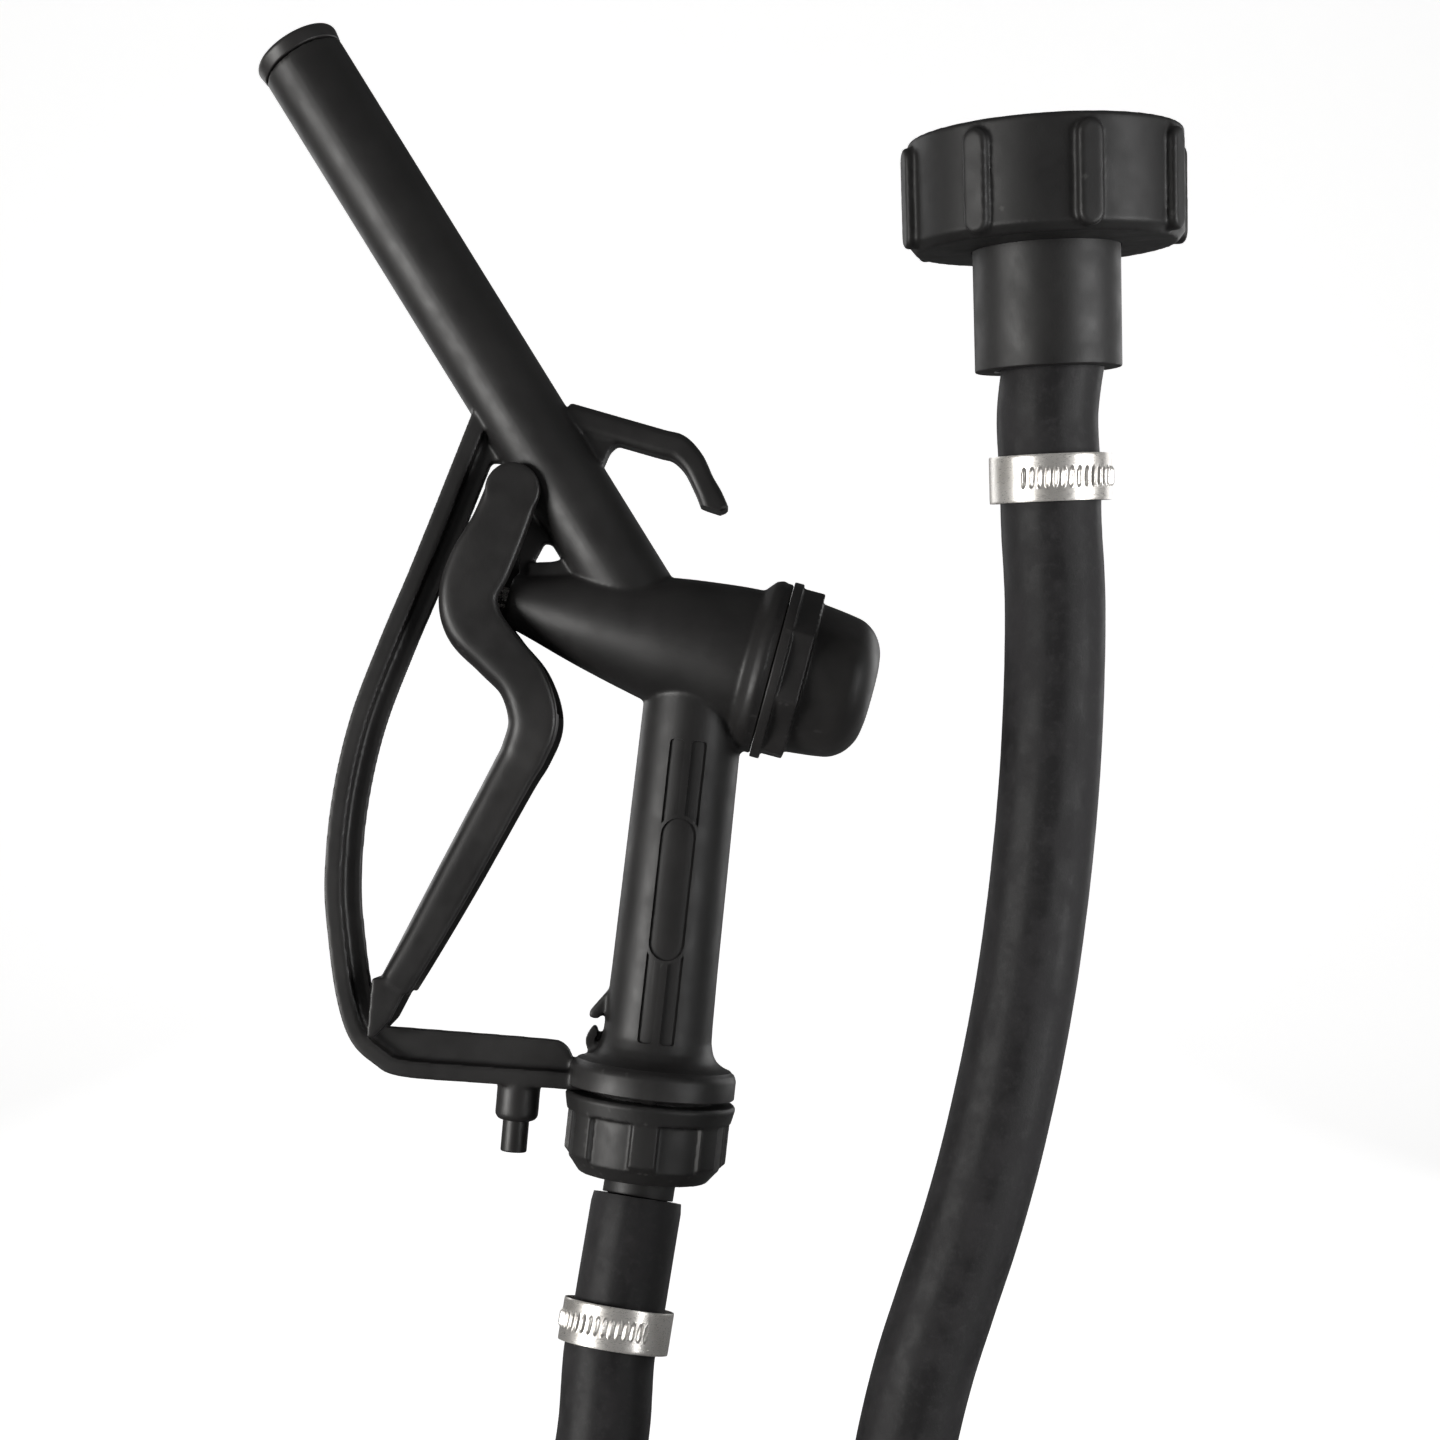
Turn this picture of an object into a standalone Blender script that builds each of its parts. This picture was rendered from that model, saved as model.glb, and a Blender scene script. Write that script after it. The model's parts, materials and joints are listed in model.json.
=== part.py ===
"""Gravity-feed fuel nozzle with its hose, two hose clamps and a tank coupling.

Lengths here are millimetres and angles degrees; every helper scales to metres.
The origin is under the hanging hook's arm. X points right, Z up, Y away from the viewer.
"""
import math

import bmesh
import bpy
from mathutils import Matrix, Vector

MM = 0.001
FIT = 0.3                    # gap between neighbouring pieces
BIG_ROUND = 40                # sides of a large round, a middling one and a small one
MID_ROUND = 28
SMALL_ROUND = 16

# --- axes -----------------------------------------------------------------
HUB = (15.7, 0.0, -56.3)     # the valve axis crosses the grip axis here
VALVE_TILT = 105.0           # all tilts turn the up direction towards +X
SPOUT_TILT = -31.76
GRIP_TILT = 186.28
SPOUT_ROOT = (-11.2, 0.0, 2.9)
PIVOT = (-52.3, 0.0, 43.7)
LATCH_FOOT = (-51.7, 0.0, -124.5)
LATCH_TILT = 5.0
TAIL_JOINT = (-16.0, 0.0, -145.0)
TAIL_DOWN = (-0.16, -0.15, -0.976)
SPIGOT_FOOT = (90.2, -61.5, 66.0)
RIM_CENTRE = (87.9, -69.8, 122.7)

# --- nozzle body ----------------------------------------------------------
SPOUT_RADIUS = 12.15
SPOUT_LENGTH = 198.1
SPOUT_BORE = 9.7
END_RING = 4.5               # length of the spout's end ring
END_RING_RADIUS = 12.7
GRIP_BORE = 9.6
BASE_RADIUS = 23.7
BASE_TOP = 119.9             # along the grip axis, from the hub
BASE_FOOT = 126.8
STUB_FOOT = 137.0
STUB_RADIUS = 17.5
BARREL_END = 21.2            # along the valve axis, from the hub
CHAMBER_RADIUS = 15.5
SEAT_AT = -7.0
GUARD_DEPTH = 12.0
GUARD_BAND = 2.45            # half the thickness of the guard's outer band
WEB_DEPTH = 4.0
HOOK_DEPTH = 10.0
HOOK_HALF = 3.7
LUG_RADIUS = 5.0
LUG_HALF = 11.1

# --- moving parts of the nozzle -------------------------------------------
FORK_GAP = 11.4              # half the gap between the lever's cheeks
FORK_HALF = 13.8
LEVER_LOW_GAP = 7.6          # the same below the elbow
LEVER_LOW_HALF = 10.0
EYE_RADIUS = 7.7
PIN_RADIUS = 2.2
STEM_RADIUS = 3.0
STEM_TIP = -65.6
SNOUT_END = -56.3
LATCH_RADIUS = 3.75
LATCH_ROD = 1.1

# --- hose line ------------------------------------------------------------
HOSE_RADIUS = 12.9
HOSE_BORE = 9.8
HOSE_START = 11.3            # hose end, along the tail from its joint
TAIL_RADIUS = 10.15
CLAMP_RADIUS = 15.7
CLAMP_BAND = 0.7
CLAMP_WIDTH = 11.8
LOWER_CLAMP = 47.5           # below the tail joint
UPPER_CLAMP = 27.5           # below the spigot's foot
SCREW_OFFSET = 4.2           # clamp screw's axis, outside the band
NUT_TOP = 128.4
NUT_FOOT = 150.9
NUT_RIDGES = 7
COUPLING_RADIUS = 34.6
COUPLING_HEIGHT = 27.3
COUPLING_RIBS = 8
RIB_TURN = 8.6
SPIGOT_RADIUS = 18.7

PLASTIC = (0.018, 0.017, 0.017, 1.0)
RUBBER = (0.022, 0.021, 0.021, 1.0)
STEEL = (0.62, 0.60, 0.56, 1.0)


# --- helpers --------------------------------------------------------------
def clear_scene():
    for obj in list(bpy.data.objects):
        bpy.data.objects.remove(obj, do_unlink=True)


def new_collection(name):
    group = bpy.data.collections.new(name)
    bpy.context.scene.collection.children.link(group)
    return group


def new_material(name, colour, roughness, metallic=0.0):
    look = bpy.data.materials.new(name)
    look.use_nodes = True
    shader = look.node_tree.nodes["Principled BSDF"]
    shader.inputs["Base Color"].default_value = colour
    shader.inputs["Roughness"].default_value = roughness
    shader.inputs["Metallic"].default_value = metallic
    look.diffuse_color = colour
    return look


def metres(point):
    return Vector(point) * MM


def frame_at(name, parent, at, turn=None):
    """An empty that carries parts; turn is its rotation as a matrix."""
    empty = bpy.data.objects.new(name, None)
    PARTS.objects.link(empty)
    empty.empty_display_size = 5 * MM
    empty.parent = parent
    empty.location = metres(at)
    if turn is not None:
        empty.rotation_euler = turn.to_euler()
    return empty


def tilted(degrees):
    return Matrix.Rotation(math.radians(degrees), 3, "Y")


def along(direction):
    """The turn that takes Z onto a direction and keeps X level."""
    up = Vector(direction).normalized()
    side = Vector((0, 1, 0)).cross(up).normalized()
    return Matrix((side, up.cross(side), up)).transposed()


def add_mesh(name, mesh, frame, look=None):
    """Puts a mesh on a frame: with a look it is a part, without one a cutter."""
    obj = bpy.data.objects.new(name, mesh)
    obj.parent = frame
    if look:
        PARTS.objects.link(obj)
        material = new_material(name, *look)
        obj.data.materials.append(material)
    else:
        CUTTERS.objects.link(obj)
        obj.hide_render = True
        obj.display_type = "WIRE"
    return obj


def turned(name, profile, frame, look=None, steps=MID_ROUND):
    """Turns a profile of (radius, height) points round the frame's Z axis."""
    count = len(profile)
    links = [(i, i + 1) for i in range(count - 1)]
    if profile[0][0] > 0:
        links.append((count - 1, 0))
    mesh = bpy.data.meshes.new(name)
    mesh.from_pydata([(r * MM, 0, z * MM) for r, z in profile], links, [])
    obj = add_mesh(name, mesh, frame, look)
    turn = obj.modifiers.new("turn", "SCREW")
    turn.axis = "Z"
    turn.steps = steps
    turn.render_steps = steps
    turn.use_merge_vertices = True
    turn.merge_threshold = 0.00001
    return obj


def rod(name, radius, low, high, frame, look=None, steps=MID_ROUND):
    profile = [(0, high), (radius, high), (radius, low), (0, low)]
    return turned(name, profile, frame, look, steps)


def ring(name, inner, outer, low, high, frame, look=None, steps=MID_ROUND):
    profile = [(inner, high), (outer, high), (outer, low), (inner, low)]
    return turned(name, profile, frame, look, steps)


def o_ring(name, radius, thick, at, frame, look):
    bead = []
    for i in range(6):
        angle = math.pi * (0.5 - i / 3)
        bead.append((radius + thick * math.cos(angle), at + thick * math.sin(angle)))
    return turned(name, bead, frame, look)


def cross_rod(name, radius, half, at, frame, look=None, steps=SMALL_ROUND):
    """A rod along Y."""
    mesh = bpy.data.meshes.new(name)
    work = bmesh.new()
    bmesh.ops.create_cone(work, cap_ends=True, segments=steps, radius1=radius * MM,
                          radius2=radius * MM, depth=2 * half * MM)
    bmesh.ops.rotate(work, verts=work.verts, matrix=Matrix.Rotation(math.pi / 2, 3, "X"))
    bmesh.ops.translate(work, verts=work.verts, vec=metres(at))
    work.to_mesh(mesh)
    work.free()
    return add_mesh(name, mesh, frame, look)


def prism(name, sides, flats, low, high, frame, look=None):
    """A regular prism along Z with one flat towards -Y."""
    mesh = bpy.data.meshes.new(name)
    work = bmesh.new()
    corner = flats / 2 / math.cos(math.pi / sides) * MM
    bmesh.ops.create_cone(work, cap_ends=True, segments=sides, radius1=corner,
                          radius2=corner, depth=(high - low) * MM)
    spin = Matrix.Rotation(math.pi / sides, 3, "Z")
    bmesh.ops.rotate(work, verts=work.verts, matrix=spin)
    bmesh.ops.translate(work, verts=work.verts, vec=metres((0, 0, (low + high) / 2)))
    work.to_mesh(mesh)
    work.free()
    return add_mesh(name, mesh, frame, look)


def boxes(name, size, places, frame, look=None):
    """Equal boxes at 4x4 placements whose positions are in millimetres."""
    mesh = bpy.data.meshes.new(name)
    work = bmesh.new()
    for place in places:
        fitted = place.copy()
        fitted.translation = place.translation * MM
        scale = Matrix.Diagonal((size[0] * MM, size[1] * MM, size[2] * MM, 1))
        bmesh.ops.create_cube(work, size=1, matrix=fitted @ scale)
    work.to_mesh(mesh)
    work.free()
    return add_mesh(name, mesh, frame, look)


def smooth_line(points, spans=4):
    """Catmull-Rom samples through points of any dimension."""
    ends = [points[0]] + list(points) + [points[-1]]
    line = []
    for i in range(1, len(ends) - 2):
        for step in range(spans):
            t = step / spans
            line.append(tuple(
                0.5 * (2 * b + (c - a) * t + (2 * a - 5 * b + 4 * c - d) * t * t
                       + (3 * b - a - 3 * c + d) * t * t * t)
                for a, b, c, d in zip(*ends[i - 1:i + 3])))
    line.append(tuple(points[-1]))
    return line


def ribbon(line):
    """The outline of a band along (x, z, left width, right width) samples."""
    left = []
    right = []
    for i, (x, z, wide_left, wide_right) in enumerate(line):
        before = line[max(i - 1, 0)]
        after = line[min(i + 1, len(line) - 1)]
        ahead = Vector((after[0] - before[0], after[1] - before[1])).normalized()
        left.append((x - ahead.y * wide_left, z + ahead.x * wide_left))
        right.append((x + ahead.y * wide_right, z - ahead.x * wide_right))
    return left + right[::-1]


def curve_mesh(name, curve, turn, frame, look):
    """Makes a curve a welded mesh on a frame."""
    source = bpy.data.objects.new(name + "_curve", curve)
    CUTTERS.objects.link(source)
    bpy.context.view_layer.update()
    shape = source.evaluated_get(bpy.context.evaluated_depsgraph_get())
    mesh = bpy.data.meshes.new_from_object(shape)
    bpy.data.objects.remove(source, do_unlink=True)
    mesh.transform(turn)
    work = bmesh.new()
    work.from_mesh(mesh)
    bmesh.ops.remove_doubles(work, verts=work.verts, dist=0.000001)
    bmesh.ops.recalc_face_normals(work, faces=work.faces)
    work.to_mesh(mesh)
    work.free()
    return add_mesh(name, mesh, frame, look)


def plate(name, outline, depth, frame, look=None, centre=0.0):
    """A flat outline of (x, z) points, extruded along Y about centre."""
    curve = bpy.data.curves.new(name, "CURVE")
    curve.dimensions = "2D"
    curve.fill_mode = "BOTH"
    curve.extrude = depth / 2 * MM
    spline = curve.splines.new("POLY")
    spline.points.add(len(outline) - 1)
    for point, (x, z) in zip(spline.points, outline):
        point.co = (x * MM, z * MM, 0, 1)
    spline.use_cyclic_u = True
    turn = Matrix.Translation(metres((0, centre, 0))) @ Matrix.Rotation(math.pi / 2, 4, "X")
    return curve_mesh(name, curve, turn, frame, look)


def wire(name, line, radius, frame, look=None, sides=3):
    """A round tube along a line of points."""
    curve = bpy.data.curves.new(name, "CURVE")
    curve.dimensions = "3D"
    curve.bevel_depth = radius * MM
    curve.bevel_resolution = sides
    curve.use_fill_caps = True
    spline = curve.splines.new("POLY")
    spline.points.add(len(line) - 1)
    for point, place in zip(spline.points, line):
        point.co = (*metres(place), 1)
    return curve_mesh(name, curve, Matrix.Identity(4), frame, look)


def coil(name, radius, thick, low, high, turns, frame, look):
    per_turn = 10
    count = turns * per_turn
    line = []
    for i in range(count + 1):
        angle = 2 * math.pi * i / per_turn
        height = low + thick + (high - low - 2 * thick) * i / count
        line.append((radius * math.cos(angle), radius * math.sin(angle), height))
    return wire(name, line, thick, frame, look, 1)


def combine(target, other, operation):
    step = target.modifiers.new(operation.lower(), "BOOLEAN")
    step.operation = operation
    step.solver = "EXACT"
    step.object = other


def join(target, *others):
    for other in others:
        combine(target, other, "UNION")


def cut(target, *others):
    for other in others:
        combine(target, other, "DIFFERENCE")


def soften(obj, width, segments=2):
    bevel = obj.modifiers.new("edges", "BEVEL")
    bevel.width = width * MM
    bevel.segments = segments
    bevel.limit_method = "ANGLE"
    bevel.angle_limit = math.radians(40)


# --- nozzle body ----------------------------------------------------------
def barrel_profile():
    """Snout, barrel and bead of the valve housing, from the cap end to the snout."""
    return [(0, BARREL_END), (23.2, BARREL_END), (24.7, 20.0), (25.1, 18.2), (24.4, 16.4),
            (22.8, 15.0), (21.1, 13.6), (20.4, 6), (18.2, -12), (16.8, -18), (14.6, -28),
            (12.4, -37), (9.4, -48), (7.8, -54.6), (7.0, SNOUT_END), (0, SNOUT_END)]


def grip_profile():
    """Grip, cove and base flange, listed from the foot up (the frame points down)."""
    return [(0, STUB_FOOT), (STUB_RADIUS - 1, STUB_FOOT), (STUB_RADIUS, STUB_FOOT - 1),
            (STUB_RADIUS, BASE_FOOT), (BASE_RADIUS, BASE_FOOT), (BASE_RADIUS, 122.4),
            (BASE_RADIUS - 0.5, BASE_TOP), (21.4, 118.3), (19.4, 117.2), (17.6, 115.4),
            (16.2, 112.6), (15.4, 108), (15.1, 92), (14.5, 30), (14.3, 0), (0, 0)]


def guard_line():
    """The guard's outer band, from the spout down and along the bottom bar."""
    points = [(-61.5, 67.7), (-78.6, 24.9), (-88.3, 2.0), (-96.8, -20.5), (-101.9, -43.1),
              (-103.9, -65.7), (-102.8, -82.5), (-100.5, -98.7), (-96.9, -109.7),
              (-90.9, -115.7), (-84.0, -118.9), (-62.0, -120.7), (-36.0, -122.6), (-16.0, -124.0)]
    return smooth_line(points, 3)


def side_web_line():
    """The narrow inner web down the guard's side."""
    return [(x, z, GUARD_BAND + 4.6, 0.6) for x, z in guard_line() if z > -101]


def bar_web_outline():
    """The taller web on the bottom bar, with a rounded end."""
    end = []
    for angle in (80, 55, 30, 5):
        turn = math.radians(angle)
        end.append((-42.3 + 5.8 * math.cos(turn), -117.0 + 5.8 * math.sin(turn)))
    return [(-99.5, -100.0), (-93.9, -98.6), (-92.2, -103.6), (-89.4, -107.4), (-53.5, -110.2),
            *end, (-36.6, -122.0), (-62.0, -120.4), (-84.0, -118.7), (-90.7, -115.6),
            (-96.7, -109.6)]


def hook_line():
    """The hanging hook: a straight arm, a bend and a short leg."""
    arm = Vector((math.cos(math.radians(16)), -math.sin(math.radians(16))))
    lift = Vector((-arm.y, arm.x)) * HOOK_HALF
    under = Vector((-HUB[0], -HUB[2])) + lift
    points = []
    for reach in (-24, -10, 4, 9):
        points.append((*(under + arm * reach), HOOK_HALF, HOOK_HALF))
    points.append((-1.9, 53.2, 3.4, 3.4))
    points.append((0.9, 47.6, 3.2, 3.2))
    points.append((3.0, 43.4, 3.5, 3.5))
    points.append((4.1, 39.8, 3.6, 3.6))
    return points


def clip_arms():
    """The two curled arms of the clip seat on the grip."""
    upper = [(-21.0, -92.0, 1.7, 1.7), (-25.5, -97.2, 1.5, 1.5), (-29.9, -101.6, 1.3, 1.3),
             (-30.2, -104.0, 0.9, 0.9)]
    lower = [(-22.0, -117.5, 2.2, 2.2), (-27.6, -116.0, 2.1, 2.1), (-30.8, -112.6, 1.9, 1.9),
             (-29.8, -108.6, 1.7, 1.7)]
    return smooth_line(upper, 3), smooth_line(lower, 3)


def make_body(hub, spout, valve, grip, latch):
    body = turned("nozzle_body", barrel_profile(), valve, (PLASTIC, 0.42), BIG_ROUND)
    tube = rod("spout_outside", SPOUT_RADIUS, 0, SPOUT_LENGTH - END_RING - 0.1, spout,
               steps=BIG_ROUND)
    handle = turned("grip_outside", grip_profile(), grip, steps=BIG_ROUND)
    band = plate("guard_band", ribbon([(x, z, GUARD_BAND, GUARD_BAND) for x, z in guard_line()]),
                 GUARD_DEPTH, hub)
    web = plate("guard_side_web", ribbon(side_web_line()), WEB_DEPTH, hub)
    bar = plate("guard_bar_web", bar_web_outline(), WEB_DEPTH + 0.2, hub)
    gusset = plate("guard_gusset", [(-63.5, 68.5), (-66.0, 53.4), (-54.0, 53.4), (-50.0, 41.0),
                                    (-38.0, 42.0), (-56.0, 72.0)], WEB_DEPTH + 0.6, hub)
    lug = cross_rod("pivot_lug", LUG_RADIUS, LUG_HALF, PIVOT, hub, steps=MID_ROUND)
    hook = plate("hook_bar", ribbon(hook_line()), HOOK_DEPTH, hub)
    brace = plate("hook_brace", [(-38.0, 62.0), (-28.0, 51.5), (-26.8, 54.2), (-25.6, 57.0),
                                 (-23.0, 58.9), (-26.0, 62.5)], HOOK_DEPTH - 2, hub)
    lug_web = plate("lug_web", [(-56.0, 43.5), (-53.0, 33.0), (-51.2, 21.5), (-47.3, 21.0),
                                (-47.3, 25.2), (-44.4, 30.5), (-42.0, 30.0), (-49.5, 47.0)],
                    WEB_DEPTH + 1.2, hub)
    upper_arm, lower_arm = clip_arms()
    clip_top = plate("clip_upper_arm", ribbon(upper_arm), 6, hub)
    clip_low = plate("clip_lower_arm", ribbon(lower_arm), 6.2, hub)
    boss = turned("latch_boss", [(0, 1.5), (6.15, 1.5), (6.15, -8.4), (4.9, -9.7), (0, -9.7)],
                  latch, steps=MID_ROUND)
    snap = boxes("snap_lug", (4.0, 2.6, 1.8), [Matrix.Translation((0, -20.8, 127.2))], grip)
    join(body, tube, handle, band, web, bar, gusset, lug, lug_web, hook, brace)
    join(body, clip_top, clip_low, boss, snap)
    make_body_bores(body, hub, spout, valve, grip, latch)
    return body


def make_body_bores(body, hub, spout, valve, grip, latch):
    chamber = turned("chamber_bore", [(0, 22), (19.2, 22), (19.2, 19.0), (CHAMBER_RADIUS, 19.0),
                                      (CHAMBER_RADIUS, SEAT_AT), (10.4, SEAT_AT), (10.4, -26),
                                      (6.4, -41), (5.3, -42.5), (5.3, -52.8), (3.4, -52.8),
                                      (3.4, -60), (0, -60)], valve, steps=BIG_ROUND)
    seat_hole = turned("spout_bore", [(0, 200), (11.1, 200), (11.1, 188), (SPOUT_BORE, 188),
                                      (SPOUT_BORE, 24), (7.5, 17), (0, 17)], spout)
    supply = rod("grip_bore", GRIP_BORE, 12.2, 140, grip)
    pin_hole = cross_rod("pin_hole", PIN_RADIUS + 0.15, 15, PIVOT, hub)
    latch_hole = turned("latch_hole", [(0, 20), (LATCH_ROD + 0.25, 20), (LATCH_ROD + 0.25, 3),
                                       (LATCH_RADIUS + FIT, 3), (LATCH_RADIUS + FIT, -12),
                                       (0, -12)], latch, steps=SMALL_ROUND)
    join(chamber, seat_hole, supply, pin_hole, latch_hole)
    cut(body, chamber)


def make_end_ring(spout):
    low = SPOUT_LENGTH - END_RING
    profile = [(SPOUT_BORE, SPOUT_LENGTH), (END_RING_RADIUS - 0.4, SPOUT_LENGTH),
               (END_RING_RADIUS, SPOUT_LENGTH - 0.6), (SPOUT_RADIUS, low + 0.2),
               (10.85, low + 0.2), (10.85, 188.4), (SPOUT_BORE, 188.4)]
    return turned("spout_end_ring", profile, spout, (PLASTIC, 0.4), BIG_ROUND)


# --- valve ----------------------------------------------------------------
def make_valve_cap(valve):
    start = BARREL_END + 0.2
    profile = [(0, 50.5), (8.5, 50.5), (13.2, 49.6), (17.2, 47.2), (19.8, 43.6), (20.8, 39.0),
               (21.9, 30.4), (21.9, 24.2), (25.6, 24.0), (25.6, start),
               (CHAMBER_RADIUS - FIT, start), (CHAMBER_RADIUS - FIT, 9.0), (0, 9.0)]
    cap = turned("valve_cap", profile, valve, (PLASTIC, 0.38), BIG_ROUND)
    shell = prism("cap_octagon", 8, 47.0, 23.0, 30.5, valve)
    hollow = turned("cap_hollow", [(0, 23), (6.0, 23), (6.0, 46.5), (12.8, 46.5), (12.8, 8),
                                   (0, 8)], valve)
    guide = rod("stem_guide_hole", STEM_RADIUS + 0.35, 20, 44, valve, steps=SMALL_ROUND)
    join(cap, shell)
    cut(cap, hollow, guide)
    return cap


def make_valve(valve):
    steel = (STEEL, 0.35, 0.9)
    plastic = (PLASTIC, 0.4)
    rubber = (RUBBER, 0.7)
    dome = [(0, STEM_TIP)]
    for angle in (30, 55, 75, 90):
        turn = math.radians(angle)
        dome.append((STEM_RADIUS * math.sin(turn), STEM_TIP + STEM_RADIUS * (1 - math.cos(turn))))
    stem = [(0, 26.0), (STEM_RADIUS, 26.0)] + dome[::-1]
    turned("valve_stem", stem, valve, steel, SMALL_ROUND)
    reach = STEM_RADIUS + 0.15
    ring("valve_disc", reach, 13.0, -4.6, -2.0, valve, plastic)
    ring("valve_seal", reach, 12.6, SEAT_AT + 0.1, -4.7, valve, rubber)
    coil("valve_spring", 9.2, 0.9, -1.9, 46.3, 8, valve, steel)
    o_ring("valve_cap_seal", 17.2, 0.95, 20.2, valve, rubber)
    ring("stem_gland", reach, 5.15, -52.7, -46.8, valve, plastic, SMALL_ROUND)
    o_ring("stem_seal", 4.22, 0.9, -45.7, valve, rubber)


# --- lever ----------------------------------------------------------------
def lever_stations():
    """Centre line of the lever from the pivot: (x, z, half width, half depth, roundness)."""
    low = LEVER_LOW_HALF
    return [(-52.3, 43.7, 7.7, FORK_HALF, 9.0), (-56.3, 33.5, 8.1, FORK_HALF, 9.0),
            (-61.2, 23.6, 9.0, FORK_HALF, 9.0), (-64.9, 15.0, 8.6, FORK_HALF, 6.0),
            (-63.6, 6.6, 8.6, FORK_HALF, 4.5), (-57.0, -1.6, 7.6, FORK_HALF, 4.0),
            (-50.1, -9.6, 7.2, FORK_HALF, 4.0), (-47.0, -20.0, 7.3, 13.2, 3.6),
            (-49.6, -29.0, 6.8, 12.0, 3.2), (-54.0, -37.1, 6.4, 11.0, 3.0),
            (-69.5, -65.7, 6.0, low, 3.0), (-80.0, -84.6, 5.4, low, 3.0),
            (-86.2, -95.6, 4.9, low, 4.0)]


def lofted(name, stations, frame, look, around=20):
    """Bridges sections across a centre line in the XZ plane: round to the left, square right."""
    work = bmesh.new()
    rings = []
    for i, (x, z, wide, deep, round_side) in enumerate(stations):
        before = stations[max(i - 1, 0)]
        after = stations[min(i + 1, len(stations) - 1)]
        ahead = Vector((after[0] - before[0], 0, after[1] - before[1])).normalized()
        across = Vector((-ahead.z, 0, ahead.x))
        loop = []
        for k in range(around):
            angle = 2 * math.pi * (k + 0.5) / around
            c, s = math.cos(angle), math.sin(angle)
            square = round_side if c < 0 else 12.0
            u = math.copysign(abs(c) ** (2 / square), c) * wide
            v = math.copysign(abs(s) ** (2 / square), s) * deep
            loop.append(work.verts.new((Vector((x, v, z)) + across * u) * MM))
        rings.append([work.edges.new((a, b)) for a, b in zip(loop, loop[1:] + loop[:1])])
    for one, two in zip(rings, rings[1:]):
        bmesh.ops.bridge_loops(work, edges=one + two)
    bmesh.ops.holes_fill(work, edges=[e for e in work.edges if e.is_boundary], sides=0)
    bmesh.ops.recalc_face_normals(work, faces=work.faces)
    mesh = bpy.data.meshes.new(name)
    work.to_mesh(mesh)
    work.free()
    return add_mesh(name, mesh, frame, look)


def from_pivot(outline):
    return [(x - PIVOT[0], z - PIVOT[2]) for x, z in outline]


def make_lever(pivot):
    """The lever's frame sits on its pivot; outlines are listed from the hub."""
    local = [(x - PIVOT[0], z - PIVOT[2], *rest) for x, z, *rest in lever_stations()]
    lever = lofted("lever", smooth_line(local, 2), pivot, (PLASTIC, 0.4))
    eye = cross_rod("lever_eye", EYE_RADIUS, FORK_HALF + 0.15, (0, 0, 0), pivot, steps=MID_ROUND)
    tips = plate("lever_tips", from_pivot([(-92.2, -93.0), (-80.8, -93.0), (-87.4, -105.6),
                                           (-91.7, -110.0), (-93.7, -110.0)]),
                 2 * LEVER_LOW_HALF - 0.5, pivot)
    join(lever, eye, tips)
    fork = plate("fork_gap", from_pivot([(-80, 25), (-61.6, 25), (-65.4, 11), (-70.6, 9),
                                         (-66.8, 4), (-58.7, -6.8), (-54, -13), (-51.5, -19),
                                         (-30, -19), (-30, 0), (-40, 28), (-32, 64),
                                         (-80, 64)]), 2 * FORK_GAP, pivot)
    groove = plate("lever_groove", from_pivot([(-51.7, -17), (-52.6, -26.6), (-58.6, -38.4),
                                               (-67.5, -55.6), (-79.8, -78.4), (-88.6, -96),
                                               (-100, -96), (-100, -115), (-70, -115),
                                               (-60, -80), (-40, -50), (-30, -25),
                                               (-30, -17)]), 2 * LEVER_LOW_GAP, pivot)
    pin_hole = cross_rod("cheek_pin_hole", PIN_RADIUS + 0.15, FORK_HALF - 1.2, (0, 0, 0), pivot)
    cut(lever, fork, groove, pin_hole)
    return lever


def make_pivot_pin(hub):
    return cross_rod("lever_pivot_pin", PIN_RADIUS, FORK_HALF - 1.4, PIVOT, hub,
                     (STEEL, 0.35, 0.9))


# --- latch ----------------------------------------------------------------
def make_latch(latch):
    profile = [(0, 13.2), (LATCH_ROD, 13.2), (LATCH_ROD, -7.0), (LATCH_RADIUS, -7.0),
               (LATCH_RADIUS, -18.2), (LATCH_RADIUS - 0.5, -18.7), (0, -18.7)]
    turned("latch_pin", profile, latch, (PLASTIC, 0.4), SMALL_ROUND)
    coil("latch_spring", 2.5, 0.4, -6.9, 2.8, 5, latch, (STEEL, 0.35, 0.9))


# --- union nut, tail and hose ---------------------------------------------
def make_union_nut(grip):
    ridge_half = math.radians(9)
    outline = []
    period = 2 * math.pi / NUT_RIDGES
    middle = -math.pi / 2
    for k in range(NUT_RIDGES):
        centre = middle + k * period
        for part in (-1, -0.34, 0.34, 1):
            angle = centre + part * ridge_half
            outline.append((23.3 * math.cos(angle), 23.3 * math.sin(angle)))
        start = centre + ridge_half * 1.12
        gap = period - 2 * ridge_half * 1.12
        for step in range(6):
            angle = start + gap * step / 5
            outline.append((21.6 * math.cos(angle), 21.6 * math.sin(angle)))
    nut = extruded_up("union_nut", outline, 132.0, NUT_FOOT, grip, (PLASTIC, 0.4))
    envelope = turned("nut_envelope", [(0, NUT_FOOT), (18.4, NUT_FOOT), (21.0, 147.6),
                                       (23.5, 145.2), (24.2, 131.0), (0, 131.0)], grip)
    combine(nut, envelope, "INTERSECT")
    collar = turned("nut_collar", [(0, 133.6), (23.5, 133.6), (24.4, 129.4), (23.9, NUT_TOP),
                                   (0, NUT_TOP)], grip, steps=BIG_ROUND)
    join(nut, collar)
    hollow = turned("nut_hollow", [(0, 152), (11.7, 152), (11.7, 147.9), (18.0, 147.9),
                                   (18.0, 127), (0, 127)], grip, steps=MID_ROUND)
    cut(nut, hollow)
    return nut


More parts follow.
